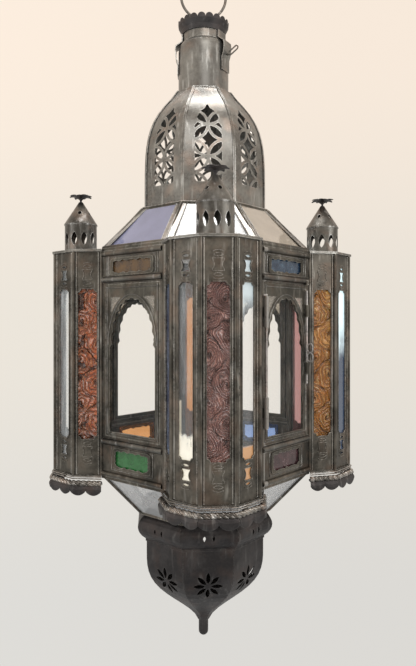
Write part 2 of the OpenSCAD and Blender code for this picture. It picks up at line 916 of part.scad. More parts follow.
module neck_strap() {
    inner = neck_r + seat_gap + sheet_t;
    top_in = spigot_r + 2 * (seat_gap + sheet_t);
    line = concat(
        [for (s = strap_shares) [inner + s.x * strap_bow, strap_z + s.y * strap_h]],
        [[top_in, cap_z + sheet_t + seat_gap], [top_in, strap_z + strap_h]]);
    color(metal) hung() difference() {
        for (turn = strap_turns) rotate([0, 0, turn]) rotate([90, 0, 0])
            translate([0, 0, -strap_w / 2]) linear_extrude(strap_w) polygon(band(line, sheet_t));
        strap_hole(wire_r + running_gap);
    }
}

module neck_pin() {
    outer = neck_r + sheet_t + 2 * strap_bow;
    color(pale_metal) hung() rotate([0, 0, strap_turns[0]]) translate([0, 0, pin_z]) {
        rod([neck_r - pin_in, 0, 0], [outer, 0, 0], wire_r);
        translate([outer, 0, 0]) rotate([90, 0, 0]) rotate([0, 0, eye_lift - 90])
            translate([0, eye_l / 2 - loop_wire_r, 0]) wire_loop(eye_w, eye_l, loop_wire_r);
    }
}

// Crown: floor, then a flared collar with scallops along its lip
crown_foot_share = 0.86;
crown_scallops = 20;
scallop_share = 0.92;

module crown() {
    foot_r = crown_r * crown_foot_share;
    line = [[foot_r, crown_z], [foot_r + sheet_t, crown_z + crown_h / 3],
            [crown_r - sheet_t / 2, crown_z + 2 * crown_h / 3], [crown_r, crown_z + crown_h]];
    pitch = 360 / crown_scallops;
    half = crown_r * sin(pitch / 2);
    color(pale_metal) hung() difference() {
        union() {
            rotate_extrude() polygon(band(line, sheet_t));
            translate([0, 0, crown_z]) cylinder(r = foot_r - sheet_t / 2, h = sheet_t);
        }
        for (i = [0:crown_scallops - 1]) rotate([0, 0, i * pitch])
            translate([foot_r - overrun, 0, crown_z + crown_h - half]) rotate([90, 0, 90])
                linear_extrude(2 * overrun + crown_r - foot_r) difference() {
                    translate([-half * scallop_share, 0]) square([2 * half * scallop_share, 2 * half]);
                    for (s = [-half, half]) translate([s, 0]) circle(r = half);
                }
        for (y = [-eye_bend, eye_bend]) translate([0, y, crown_z - overrun])
            cylinder(r = ring_wire_r + seat_gap, h = 2 * overrun);
    }
}

// Staple in the crown's floor, and the ring that hangs in it
eye_bend = 4.5;
staple_tail = 6;

module ring_staple() {
    top = ring_z - ring_r + ring_wire_r + body_gap + ring_wire_r - eye_bend;
    color(pale_metal) hung() {
        translate([0, 0, top]) rotate([90, 0, 90]) rotate_extrude(angle = 180)
            translate([eye_bend, 0]) circle(r = ring_wire_r);
        for (y = [-eye_bend, eye_bend]) translate([0, y, crown_z - staple_tail])
            cylinder(r = ring_wire_r, h = top - crown_z + staple_tail);
    }
}

module hanging_ring() {
    color(pale_metal) hung() translate([0, 0, ring_z]) rotate([90, 0, 0])
        rotate_extrude() translate([ring_r, 0]) circle(r = ring_wire_r);
}

// Turrets: a drum with leaf-shaped windows, a conical roof and a petalled finial
drum_windows = 10;
drum_window_w = 6.6;
drum_foot_share = 0.28;
drum_head_share = 0.74;

module turret_drums() {
    foot = drum_h * drum_foot_share;
    head = drum_h * drum_head_share;
    color(metal) hung() each_turret() translate([0, 0, lid_t + 2 * seat_gap]) difference() {
        cylinder(r = drum_r, h = drum_h);
        translate([0, 0, -overrun]) cylinder(r = drum_r - sheet_t, h = drum_h + 2 * overrun);
        for (i = [0:drum_windows - 1]) rotate([0, 0, (i + 0.5) * 360 / drum_windows])
            translate([drum_r - overrun, 0, (foot + head) / 2]) rotate([90, 0, 90])
                linear_extrude(2 * overrun) lens(head - foot, drum_window_w);
    }
}

turret_roof_z = drum_h + lid_t + 3 * seat_gap;
eave = 0.8;
apex_r = 2.2;
roof_holes = 5;
roof_hole_r = 2;

module turret_roofs() {
    color(metal) hung() each_turret() translate([0, 0, turret_roof_z]) difference() {
        rotate_extrude() {
            polygon(band([[drum_r + eave, 0], [drum_r + eave, sheet_t], [apex_r, turret_roof_h]], sheet_t));
            translate([drum_r - 2 * sheet_t, 0]) square([2 * sheet_t + eave, sheet_t]);
        }
        for (i = [0:roof_holes - 1]) rotate([0, 0, i * 360 / roof_holes])
            translate([0, 0, turret_roof_h / 2]) rotate([0, 90, 0]) translate([0, 0, drum_r / 4])
                cylinder(r = roof_hole_r, h = drum_r);
    }
}

finial_petals = 8;
petal_hub_share = 0.7;
petal_tip_share = 0.25;
petal_cup_share = 0.5;
stem_r = 1.2;
stem_bite = 4;
petal_t = 1;

module turret_finials() {
    stem_h = 6;
    color(metal) hung() each_turret() translate([0, 0, turret_roof_z + turret_roof_h]) {
        translate([0, 0, -stem_bite]) cylinder(r = stem_r, h = stem_h + stem_bite);
        translate([0, 0, stem_h - petal_t]) linear_extrude(petal_t) {
            circle(r = petal_r * petal_hub_share);
            for (i = [0:finial_petals - 1]) rotate([0, 0, i * 360 / finial_petals])
                translate([petal_r * (1 - petal_tip_share), 0]) circle(r = petal_r * petal_tip_share);
        }
        translate([0, 0, stem_h / 3])
            cylinder(r1 = stem_r, r2 = petal_r * petal_cup_share, h = stem_h * 2 / 3);
    }
}

// Collar: eight bulging sides, each with two diamonds, and a lip that laps the bowl's rim
collar_steps = 8;
collar_ease = 0.8;
collar_lip = 2.5;
diamond_w = 3.2;
diamond_h = 7;
diamond_place_share = 0.18;

module lower_collar() {
    foot = bowl_apothem + sheet_t + seat_gap;
    bulges = [for (i = [0:collar_steps]) let (u = i / collar_steps, bulge = pow(sin(180 * u), collar_ease))
        [foot + (collar_apothem - foot) * bulge, collar_z + u * (collar_h - seat_gap)]];
    line = concat([[foot, collar_z - collar_lip]], bulges);
    color(metal) hung() for (i = [0:sides - 1]) difference() {
        gore(i, line, sheet_t);
        on_side(i, foot - overrun) linear_extrude(3 * overrun)
            for (s = [-1, 1])
                translate([s * diamond_place_share * half_side(foot), collar_z + collar_h / 2]) polygon([
                    [-diamond_w / 2, 0], [0, -diamond_h / 2], [diamond_w / 2, 0], [0, diamond_h / 2]]);
    }
}

// Bowl: eight ogee gores, each pierced with a rosette of leaves
bowl_steps = 14;
bowl_straight = 0.15;
bowl_power = 1.45;
bowl_sweep = 0.93;
bowl_foot = tip_r;
rosette_petals = 8;
rosette_share = 0.4;
leaf_l = 13;
leaf_w = 4.8;
leaf_place = 9.6;

function bowl_at(u) = let (x = max(0, (u - bowl_straight) / (1 - bowl_straight)),
                           w = bowl_sweep * pow(x, bowl_power))
    [bowl_foot + (bowl_apothem - bowl_foot) * (1 + cos(180 * w)) / 2, collar_z - u * bowl_h];

module bowl_gores() {
    line = [for (i = [bowl_steps:-1:0]) bowl_at(i / bowl_steps)];
    color(metal) hung() for (i = [0:sides - 1]) difference() {
        gore(i, line, sheet_t);
        on_side(i, bowl_apothem / 2) translate([0, collar_z - rosette_share * bowl_h, 0])
            linear_extrude(bowl_apothem) for (j = [0:rosette_petals - 1])
                rotate([0, 0, j * 360 / rosette_petals]) translate([0, leaf_place]) lens(leaf_l, leaf_w);
    }
}

tip_plug = 4;

module bowl_tip() {
    steps = 6;
    plug_r = bowl_foot - sheet_t - 4 * seat_gap;
    end = bowl_z - seat_gap - tip_h;
    color(metal) hung() rotate_extrude() polygon(concat(
        [for (i = [0:steps]) let (a = 90 * i / steps) [tip_r * sin(a), end + tip_r - tip_r * cos(a)]],
        [[tip_r, bowl_z - seat_gap], [plug_r, bowl_z - seat_gap],
         [plug_r, bowl_z + tip_plug], [0, bowl_z + tip_plug]]));
}

// Tray across the lower frame, and the candle cup on it
tray_t = 1.2;
tray_rim_h = 4;
tray_z = -lower_h + rim_h + seat_gap;

module candle_tray() {
    apothem = lower_low.x - came_r;
    color(metal) hung() translate([0, 0, tray_z]) {
        linear_extrude(tray_t) octagon(apothem);
        oct_ring(apothem, tray_t, tray_rim_h);
    }
}

cup_floor = 1.5;
cup_foot = 9;

module candle_cup() {
    r = candle_r + candle_clearance;
    color(pale_metal) hung() translate([0, 0, tray_z + tray_t + seat_gap]) difference() {
        union() {
            cylinder(r = r + cup_foot, h = cup_floor);
            cylinder(r = r + cup_floor, h = cup_floor + cup_h);
        }
        translate([0, 0, cup_floor]) cylinder(r = r, h = cup_h + overrun);
    }
}

hanging_ring();
ring_staple();
crown();
cap_band();
neck_strap();
neck_pin();
neck_tube();
dome_gores();
dome_seams();
roof_frame();
roof_glass_clear();
roof_glass_blue();
roof_glass_amber();
wall_front_right();
wall_back_right();
wall_back_left();
wall_front_left();
window_frame_front_left();
window_frame_back_left();
window_frame_back_right();
window_panes();
top_lights_amber();
top_lights_blue();
bottom_light_green();
bottom_light_purple();
bottom_light_orange();
bottom_light_sky();
bay_casing_front();
bay_casing_right();
bay_casing_back();
bay_casing_left();
bay_glass_clear();
bay_glass_rose();
bay_glass_red();
bay_glass_amber();
bay_glass_blue();
bay_tops();
bay_floors();
bay_skirts();
turret_drums();
turret_roofs();
turret_finials();
door_frame();
door_pane();
hinge_pin();
bolt_guides();
door_bolt();
lower_frame();
lower_panes();
lower_collar();
bowl_gores();
bowl_tip();
candle_tray();
candle_cup();
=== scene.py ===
"""Looks of the hanging lantern of aged sheet metal and coloured glass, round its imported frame."""

import math

import bpy
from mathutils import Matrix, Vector
from mathutils.geometry import tessellate_polygon


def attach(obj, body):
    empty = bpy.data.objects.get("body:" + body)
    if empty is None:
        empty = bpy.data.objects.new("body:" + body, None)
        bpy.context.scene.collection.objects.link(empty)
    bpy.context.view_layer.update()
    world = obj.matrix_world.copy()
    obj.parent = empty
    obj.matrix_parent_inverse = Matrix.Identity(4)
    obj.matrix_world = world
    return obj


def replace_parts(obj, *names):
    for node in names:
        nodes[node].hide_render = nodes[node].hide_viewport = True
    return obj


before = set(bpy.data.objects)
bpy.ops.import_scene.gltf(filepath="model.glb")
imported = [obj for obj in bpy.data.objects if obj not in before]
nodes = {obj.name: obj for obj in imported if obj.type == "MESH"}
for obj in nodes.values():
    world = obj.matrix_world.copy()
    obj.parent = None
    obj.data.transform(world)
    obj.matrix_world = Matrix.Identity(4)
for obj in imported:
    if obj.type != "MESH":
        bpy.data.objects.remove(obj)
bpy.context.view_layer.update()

MM = 0.001

# Sizes of the frame that the pieces below are set against, in millimetres. Heights are from
# the body's lower edge, and HANG is the height of the ring's inside top, the frame's origin.
HANG = 567.2
BODY_H = 240.0
# The walls' octagon: distance from the axis to a wall, and half of the bend at each corner
WALL = 113.5
HALF_BEND = math.radians(22.5)
WALL_HALF = WALL * math.tan(HALF_BEND)
# Plans, seen from above: the five faces of the front bay, and the wall at its right
BAY_PLAN = [
    (-WALL_HALF, -WALL), (-41.0, -144.0), (-16.3, -167.0),
    (16.3, -167.0), (41.0, -144.0), (WALL_HALF, -WALL),
]
WALL_PLAN = [(WALL_HALF, -WALL), (WALL, -WALL_HALF)]
# The dome: height of its foot, radius there, its own height, and its radius at the neck
DOME_Z, DOME_R, DOME_H, NECK_R = 291.0, 66.4, 137.0, 30.4
# Powers of the dome's curve: how late it falls in, and how softly it meets the neck
DOME_FALL, DOME_EASE = 4.83, 1.43
# The door's hinge line, from its wall's middle and out of its face, and the rolls round it
HINGE_X, HINGE_OUT = -40.0, 2.7
KNUCKLE_R, KNUCKLE_H, KNUCKLE_GAP = 2.4, 10.0, 0.4
# The walls' windows: lower edge, upper edge and half width, and the gap that a fixed frame and
# the door keep in them
WINDOW_FOOT, WINDOW_HEAD, WINDOW_HALF = 43.5, 204.0, 40.3
FRAME_GAP, DOOR_GAP = 0.1, 0.6
# How far the middle of a fine wire or stamped rim stands out of the face under it
LIFT = 0.1


def at(x, y, z):
    """A point of the body, in millimetres from its lower edge, in the shared frame."""
    return Vector((x * MM, y * MM, (z - HANG) * MM))


def turned(x, y, degrees):
    """A place in plan, turned anticlockwise round the axis."""
    a = math.radians(degrees)
    return x * math.cos(a) - y * math.sin(a), x * math.sin(a) + y * math.cos(a)


def moved_out(plan, distance):
    """The plan line moved to its right, its two ends kept on the wall's line."""
    headings = [(Vector(b) - Vector(a)).normalized() for a, b in zip(plan, plan[1:])]
    rights = [Vector((h.y, -h.x)) for h in headings]
    line = []
    for i, p in enumerate(plan):
        before, after = rights[max(i - 1, 0)], rights[min(i, len(rights) - 1)]
        step = (before + after) / (1 + before.dot(after))
        line.append((p[0] + distance * step.x, p[1] + distance * step.y))
    line[0] = (line[0][0], plan[0][1])
    line[-1] = (line[-1][0], plan[-1][1])
    return line


def face(a, b, k=0):
    """Gives points of a flat face, turned round the axis by k quarters.

    A point is given by x from the face's middle, height, and distance out of the face."""
    ahead = (Vector(b) - Vector(a)).normalized()
    out = Vector((ahead.y, -ahead.x))
    middle = (Vector(a) + Vector(b)) / 2

    def point(x, z, distance=0.0):
        p = middle + ahead * x + out * distance
        return at(*turned(p.x, p.y, 90 * k), z)

    return point


def wall_face(k):
    """Points of a wall's face; wall 0 holds the door."""
    return face(*WALL_PLAN, k)


def bay_faces():
    """Every face of every bay: its number in the bay, its width and its points."""
    for k in range(4):
        for i, (a, b) in enumerate(zip(BAY_PLAN, BAY_PLAN[1:])):
            yield i, (Vector(b) - Vector(a)).length, face(a, b, k)


def lines_mesh(name, paths):
    """A mesh of bare edges from (points, closed) paths."""
    points, edges = [], []
    for path, closed in paths:
        first = len(points)
        points += path
        edges += [(first + i, first + i + 1) for i in range(len(path) - 1)]
        if closed:
            edges.append((len(points) - 1, first))
    mesh = bpy.data.meshes.new(name)
    mesh.from_pydata(points, edges, [])
    return mesh


def sheet_mesh(name, points, faces):
    """A flat-shaded mesh of points and faces."""
    mesh = bpy.data.meshes.new(name)
    mesh.from_pydata(points, [], faces)
    mesh.update()
    return mesh


def grid_faces(first, rows, columns):
    """Faces between rows of points; first is the first point's number."""
    corners = [first + r * columns + c for r in range(rows - 1) for c in range(columns - 1)]
    return [(q, q + columns, q + columns + 1, q + 1) for q in corners]


def lathe(points, faces, x, y, profile, steps=20):
    """Adds a shape turned round an upright axis, from (radius, height) pairs going up."""
    first = len(points)
    for r, z in profile:
        for s in range(steps):
            a = 2 * math.pi * s / steps
            points.append(at(x + r * math.cos(a), y + r * math.sin(a), z))
    for row in range(len(profile) - 1):
        for s in range(steps):
            n = (s + 1) % steps
            q = first + row * steps
            faces.append((q + s, q + n, q + steps + n, q + steps + s))


def piece(name, mesh, material, body="lantern"):
    """Puts a finished mesh in the scene, on its body."""
    made = bpy.data.objects.new(name, mesh)
    bpy.context.scene.collection.objects.link(made)
    mesh.materials.clear()
    mesh.materials.append(material)
    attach(made, body)
    return made


def thicken(made, thickness, offset):
    """Gives a thin sheet its thickness: outward where offset is 1, inward where it is -1."""
    wall = made.modifiers.new("thickness", "SOLIDIFY")
    wall.thickness = thickness * MM
    wall.offset = offset


# Nodes of materials and of geometry


class Socket:
    """A value in a node tree; sums and products of it add Math nodes."""

    def __init__(self, maker, socket):
        self.maker = maker
        self.socket = socket

    def math(self, operation, *others):
        values = dict(enumerate((self, *others)))
        return self.maker.node("ShaderNodeMath", {"operation": operation}, values)

    def __add__(self, other):
        return self.math("ADD", other)

    __radd__ = __add__

    def __mul__(self, other):
        return self.math("MULTIPLY", other)

    __rmul__ = __mul__

    def __sub__(self, other):
        return self.math("SUBTRACT", other)

    def __rsub__(self, other):
        return (self * -1.0) + other

    def __truediv__(self, other):
        return self.math("DIVIDE", other)

    def rise(self, low, high):
        """0 below low, 1 above high, smooth between them."""
        return self.maker.node(
            "ShaderNodeMapRange", {"interpolation_type": "SMOOTHSTEP"},
            {"Value": self, "From Min": low, "From Max": high})


class Maker:
    """Adds nodes to one tree: settings first, then the values or links of the sockets.

    A list of links goes to one socket that takes several."""

    def __init__(self, tree):
        self.tree = tree

    def node(self, kind, settings=None, inputs=None, out=0):
        made = self.tree.nodes.new(kind)
        for name, value in (settings or {}).items():
            setattr(made, name, value)
        for key, value in (inputs or {}).items():
            for given in value if isinstance(value, list) else [value]:
                if isinstance(given, Socket):
                    self.tree.links.new(given.socket, made.inputs[key])
                else:
                    made.inputs[key].default_value = given
        return Socket(self, made.outputs[out]) if made.outputs else None

    def mix(self, share, first, second):
        """Two colours mixed by a share."""
        return self.node(
            "ShaderNodeMix", {"data_type": "RGBA"}, {0: share, 6: first, 7: second}, 2)

    def noise(self, place, scale, detail=2.0, roughness=0.5):
        return self.node(
            "ShaderNodeTexNoise", None,
            {"Vector": place, "Scale": scale, "Detail": detail, "Roughness": roughness})

    def vector(self, operation, *values, out=0):
        return self.node(
            "ShaderNodeVectorMath", {"operation": operation}, dict(enumerate(values)), out)

    def scaled(self, vector, factor):
        return self.node(
            "ShaderNodeVectorMath", {"operation": "SCALE"}, {0: vector, "Scale": factor})

    def bump(self, height, strength, distance, **normal):
        """The normal bent by a relief; distance is in metres."""
        return self.node("ShaderNodeBump", None, {
            "Height": height, "Strength": strength, "Distance": distance, **normal})


class Finish(Maker):
    """A material with one Principled shader."""

    def __init__(self, name):
        self.material = bpy.data.materials.new(name)
        self.material.use_nodes = True
        super().__init__(self.material.node_tree)
        self.tree.nodes.clear()
        self.place = self.node("ShaderNodeTexCoord", out="Object")

    def axis(self, name):
        """The place along X, Y or Z, in metres."""
        return self.node("ShaderNodeSeparateXYZ", None, {"Vector": self.place}, name)

    def stretched(self, x, y, z):
        """The place, with its steps made longer or shorter each way."""
        return self.node(
            "ShaderNodeMapping", None, {"Vector": self.place, "Scale": (x, y, z)})

    def shade(self, **sockets):
        inputs = {name.replace("_", " "): value for name, value in sockets.items()}
        shader = self.node("ShaderNodeBsdfPrincipled", None, inputs)
        self.node("ShaderNodeOutputMaterial", None, {"Surface": shader})
        return self.material


def paint(r, g, b, shade=1.0):
    """A colour as it reflects, made darker or lighter by shade."""
    return (r * shade, g * shade, b * shade, 1.0)


def dome_bend(f):
    """The normal of the dome's curve, on each gore; the piercings' cut edges keep theirs."""
    flat = f.node("ShaderNodeNewGeometry", out="Normal")
    level = f.vector("NORMALIZE", f.vector("MULTIPLY", flat, (1.0, 1.0, 0.0)))
    u = ((f.axis("Z") + (HANG - DOME_Z) * MM) / (DOME_H * MM)).math("MAXIMUM", 0.0).math(
        "MINIMUM", 1.0)
    fall = (1.0 - u.math("POWER", DOME_FALL)).math("POWER", DOME_EASE - 1.0)
    slope = fall * u.math("POWER", DOME_FALL - 1.0) * (
        (DOME_R - NECK_R) * DOME_EASE * DOME_FALL / DOME_H)
    side = f.vector("DOT_PRODUCT", level, f.place, out="Value").math("SIGN")
    rise = f.node("ShaderNodeCombineXYZ", None, {"Z": slope * side})
    curved = f.vector("NORMALIZE", f.vector("ADD", level, rise))
    near = f.vector("DOT_PRODUCT", curved, flat, out="Value").math("GREATER_THAN", 0.95)
    return f.node("ShaderNodeMix", {"data_type": "VECTOR"}, {0: near, 4: flat, 5: curved}, 1)


def sheet_metal(name, dark, middle, light, roughness=0.4, wear=0.7, dents=0.5, metallic=0.8,
                bend=None, painted_light_roll_at=None):
    """Old sheet metal: patches of patina, vertical rubbing, dents and edges worn bright.

    A roll that turns on the upright line given is painted paler and less metallic, as painted light
    that lifts the shade on it."""
    f = Finish(name)
    patches = f.noise(f.place, 26.0, 5.0, 0.6).rise(0.36, 0.66)
    grain = f.noise(f.place, 340.0, 4.0, 0.65)
    rubbed = f.noise(f.stretched(1.0, 1.0, 0.16), 210.0, 3.0)
    warm = f.noise(f.place, 58.0, 2.0).rise(0.45, 0.75)
    rounded = f.node("ShaderNodeBevel", {"samples": 4}, {"Radius": 0.0011})
    flat = f.node("ShaderNodeNewGeometry", out="Normal")
    edge = (1.0 - f.vector("DOT_PRODUCT", rounded, flat, out="Value")).rise(0.01, 0.16)
    worn = edge * grain.rise(0.3, 0.62) * wear
    colour = f.mix(patches * 0.75 + (grain - 0.5) * 0.9, paint(*dark), paint(*middle))
    colour = f.mix(
        warm * 0.35, colour, paint(middle[0] * 1.15, middle[1] * 0.85, middle[2] * 0.72))
    colour = f.mix(rubbed.rise(0.55, 0.8) * 0.4 + worn, colour, paint(*light))
    # Painted light: the hinge roll is made paler and less metallic, against the shade that falls on
    # it
    if painted_light_roll_at is not None:
        aside = f.vector(
            "MULTIPLY", f.vector("SUBTRACT", f.place, painted_light_roll_at), (1.0, 1.0, 0.0))
        roll = 1.0 - f.vector("LENGTH", aside, out="Value").rise(
            (KNUCKLE_R + 0.3) * MM, (KNUCKLE_R + 0.6) * MM)
        colour = f.mix(roll * (0.6 + grain * 0.5), colour, paint(0.3, 0.28, 0.25))
        metallic = metallic - roll * 0.5
    rough = roughness + (grain - 0.5) * 0.3 - worn * 0.12 + (patches - 0.5) * 0.08
    dent = f.noise(f.place, 75.0, 2.0) * dents + grain * 0.08
    normal = {} if bend is None else {"Normal": bend(f)}
    return f.shade(
        Base_Color=colour, Roughness=rough, Metallic=metallic,
        Normal=f.bump(dent, 0.6, 0.0009, **normal), Specular_IOR_Level=0.5)


# In metres, along a bay's side face: from abreast of the axis to the face's middle. A pattern
# that repeats at this distance is centred on the side faces and on the front face.
SIDE_FACE = 0.11779


def across_pane(f):
    """Millimetres from the middle of a front or side face, rightwards as seen from outside."""
    normal = f.node("ShaderNodeTexCoord", out="Normal")
    up = f.node("ShaderNodeCombineXYZ", None, {"Z": 1.0})
    along = f.vector("CROSS_PRODUCT", up, normal)
    across = f.vector("DOT_PRODUCT", f.place, along, out="Value")
    return across.math("WRAP", SIDE_FACE / 2, -SIDE_FACE / 2) / MM


def scroll_relief(f, length, ridge):
    """Curled fans of ridges, from the left and the right edge of a strip of glass in turn.

    Gives the ridges, the dark hollows between the fans and the eye of each fan. Lengths are
    in millimetres: the pattern repeats after length, and ridge is a ridge's width."""
    eye_place, pattern_foot = 8.5, 600.0
    x = across_pane(f) + (f.noise(f.place, 48.0, 2.0) - 0.5) * 15.0
    z = f.axis("Z") / MM + pattern_foot + (
        f.noise(f.stretched(1.3, 1.3, 0.8), 40.0, 2.0) - 0.5) * 26.0
    reaches, turns = [], []
    for side, start in ((1.0, 0.0), (-1.0, length / 2)):
        dx = x * side - eye_place
        dz = (z + start).math("WRAP", length / 2, -length / 2)
        reaches.append((dx * dx + dz * dz).math("SQRT"))
        turns.append(dz.math("ARCTAN2", dx))
    nearest = reaches[0].math("MINIMUM", reaches[1])
    farther = reaches[0].math("MAXIMUM", reaches[1])
    first = reaches[0].math("LESS_THAN", reaches[1])
    turn = turns[1] + (turns[0] - turns[1]) * first
    ridges = (nearest * (2 * math.pi / ridge) - turn).math("SINE")
    hollow = 1.0 - (farther - nearest).rise(0.3, 2.2)
    return ridges, hollow, 1.0 - nearest.rise(1.2, 2.8)


def pressed_glass(name, ground, lines, glint, behind, ridge, blots, length=36.0, clearness=0.8,
                  glints=1.0, glint_side=1.0, drawn=0.75):
    """Coloured glass with a pressed relief of curled fans, dark in its grooves.

    One side of it has more painted glints and dark blots. At the lantern's back it is plain, and
    its colour is painted as lit straight through from behind: the colour called behind."""
    f = Finish(name)
    ridges, hollow, eye = scroll_relief(f, length, ridge)
    cloud = f.noise(f.place, 30.0, 3.0).rise(0.3, 0.75)
    patch = f.noise(f.place, 75.0, 2.0)
    beside = (across_pane(f) * glint_side).rise(-1.0, 8.0)
    colour = f.mix(cloud * 0.4, paint(*ground), paint(*ground, 0.6))
    colour = f.mix((1.0 - ridges.rise(-0.7, 0.5)) * drawn, colour, paint(*lines))
    blot = (patch + beside * 0.14).rise(0.62, 0.68) * blots
    dark = (hollow * patch.rise(0.4, 0.52)).math("MAXIMUM", eye * 0.8).math("MAXIMUM", blot)
    colour = f.mix(dark * 0.9, colour, paint(*lines, 0.12))
    # Painted glints on the ridges' tops, more of them on one side
    bright = ridges.rise(0.5, 0.9) * (f.noise(f.place, 110.0, 2.0) + beside * 0.1 - blot).rise(
        0.5, 0.6) * glints
    colour = f.mix(bright * 0.85, colour, paint(*glint))
    # At the back, the colour is painted as lit from behind
    far = f.axis("Y").rise(0.02, 0.035)
    colour = f.mix(far, colour, paint(*behind))
    bump = f.bump((ridges * 0.5 - dark) * (1.0 - far), 0.9, 0.0012)
    return f.shade(
        Base_Color=colour, Roughness=0.18 - far * 0.1, Transmission_Weight=clearness, IOR=1.5,
        Normal=bump)


def mottled_glass(name, ground, patch, glint, fine=260.0, glints=0.5, clearness=0.4):
    """A small light of coloured glass: blotches, a fine grain and a few light specks painted as
    glints.
    """
    f = Finish(name)
    blotch = f.noise(f.place, 95.0, 4.0, 0.65)
    grain = f.noise(f.place, fine, 2.0)
    dots = f.node("ShaderNodeTexVoronoi", None, {"Vector": f.place, "Scale": fine * 1.1})
    colour = f.mix(blotch.rise(0.38, 0.64), paint(*ground), paint(*patch))
    colour = f.mix((grain - 0.42) * 1.2, colour, paint(*ground, 0.55))
    # The light specks are painted glints
    specks = dots.rise(0.3, 0.1) * blotch.rise(0.48, 0.62) * glints
    colour = f.mix(specks, colour, paint(*glint))
    return f.shade(
        Base_Color=colour, Roughness=0.22, Transmission_Weight=clearness, IOR=1.5,
        Normal=f.bump(grain * 0.6 + blotch, 0.5, 0.0006))


def plain_glass(name, tint, clearness):
    """Coloured glass without a relief, a little rippled and dusty."""
    f = Finish(name)
    cloud = f.noise(f.place, 34.0, 4.0).rise(0.3, 0.8)
    seeds = f.noise(f.place, 900.0, 2.0).rise(0.6, 0.75)
    colour = f.mix(cloud * 0.4 + seeds * 0.25, paint(*tint), paint(*tint, 0.6))
    wave = f.noise(f.place, 60.0, 2.0) + f.noise(f.place, 240.0) * 0.2
    return f.shade(
        Base_Color=colour, Roughness=0.06, Transmission_Weight=clearness, IOR=1.5,
        Normal=f.bump(wave, 0.25, 0.0012))


def strip_blue_glass():
    """Rippled blue glass; a strip of the right bay has a painted reflection: pale above and navy
    below.
    """
    f = Finish("blue_strip_glass")
    cloud = f.noise(f.stretched(1.0, 1.0, 0.5), 60.0, 4.0, 0.6)
    colour = f.mix(cloud.rise(0.35, 0.68), paint(0.14, 0.18, 0.31), paint(0.4, 0.48, 0.64))
    height = f.axis("Z") + cloud * 0.03
    # Painted reflection on the right bay's strip: pale above, navy below
    right = f.mix(height.rise(-0.424, -0.4), paint(0.07, 0.1, 0.19), paint(0.8, 0.93, 0.98))
    colour = f.mix(f.axis("X").rise(0.12, 0.13), colour, right)
    return f.shade(
        Base_Color=colour, Roughness=0.06, Transmission_Weight=0.75, IOR=1.5,
        Normal=f.bump(cloud + f.noise(f.place, 240.0) * 0.2, 0.6, 0.0012))


def window_glass(name, tint, haze, slant_dust_and_sheen):
    """Clear glass: what is behind shows through, with a haze of dust that grows at a slant, where
    it is partly a painted sheen.
    """
    f = Finish(name)
    slant = f.node("ShaderNodeLayerWeight", None, {"Blend": 0.35}, "Facing")
    dust = f.noise(f.place, 30.0, 5.0, 0.65).rise(0.35, 0.8)
    runs = f.noise(f.stretched(1.0, 1.0, 0.08), 120.0, 3.0).rise(0.5, 0.85)
    # The haze at a slant is partly dust and partly a painted sheen
    alpha = slant * slant_dust_and_sheen + dust * haze + runs * (haze * 0.8) + haze
    colour = f.mix(dust * 0.4, paint(*tint), paint(*tint, 0.8))
    return f.shade(
        Base_Color=colour, Roughness=0.05, Alpha=alpha, IOR=1.5,
        Normal=f.bump(f.noise(f.place, 45.0, 2.0), 0.2, 0.001), Specular_IOR_Level=1.0)


def strip_clear_glass():
    """Clear glass of the bays, with light and reflections painted on each strip differently.

    Places are in metres of the shared frame, so left and right are the front view's. Strips on
    the right have a painted sheen at their heads, and the front and back bays' left strips a
    painted pale foot. Painted warm light glows at the foot of the front bay's right strip. The
    right bay's strips stand before their dark casing, with a painted reflection: pale above and
    navy below."""
    f = Finish("clear_strip")
    slant = f.node("ShaderNodeLayerWeight", None, {"Blend": 0.35}, "Facing")
    dust = f.noise(f.place, 30.0, 5.0, 0.65).rise(0.35, 0.8)
    runs = f.noise(f.stretched(1.0, 1.0, 0.1), 150.0, 3.0).rise(0.45, 0.75)
    across, height = f.axis("X"), f.axis("Z")
    ragged = height + dust * 0.02 + runs * 0.012
    # Painted light: the sheen at the heads, the pale foot and the right bay's reflection
    head = ragged.rise(-0.4, -0.375) * across.rise(0.0, 0.005)
    left = (0.0 - across).rise(0.01, 0.012)
    outer = (0.0 - across).rise(0.1, 0.11)
    foot = (0.0 - ragged).rise(0.5, 0.506) * (left - outer)
    right = across.rise(0.135, 0.14)
    alpha = slant * 0.14 + dust * 0.03 + runs * 0.03 + 0.028
    alpha = alpha + head * (0.3 + runs * 0.35) + foot * 0.55 + right * 0.75
    alpha = alpha + left * (0.02 + runs * 0.08) + outer * (0.06 + runs * 0.1)
    upper = ragged.rise(-0.44, -0.4)
    shaded = f.mix(upper, paint(0.06, 0.09, 0.15), paint(0.74, 0.86, 0.87))
    colour = f.mix(right, paint(0.9, 0.92, 0.9), shaded)
    colour = f.mix(foot, colour, paint(0.95, 0.92, 0.84))
    glow = (0.0 - height).rise(0.517, 0.519) * across.rise(0.0, 0.005) * (
        1.0 - across.rise(0.06, 0.07)) * (0.0 - f.axis("Y")).rise(0.12, 0.13)
    colour = f.mix(glow, colour, paint(0.52, 0.3, 0.15))
    alpha = alpha + glow * 0.75
    # Painted sheen and glow, given off as emission where there is no lamp
    sheen = f.mix(head + right * upper, paint(0.0, 0.0, 0.0), paint(0.3, 0.38, 0.4))
    sheen = f.mix(foot, sheen, paint(0.3, 0.27, 0.2))
    sheen = f.mix(glow, sheen, paint(0.17, 0.08, 0.03))
    return f.shade(
        Base_Color=colour, Roughness=0.05, Alpha=alpha.math("MINIMUM", 0.9), IOR=1.5,
        Normal=f.bump(f.noise(f.place, 45.0, 2.0), 0.25, 0.001), Specular_IOR_Level=1.0,
        Emission_Color=sheen, Emission_Strength=1.0)
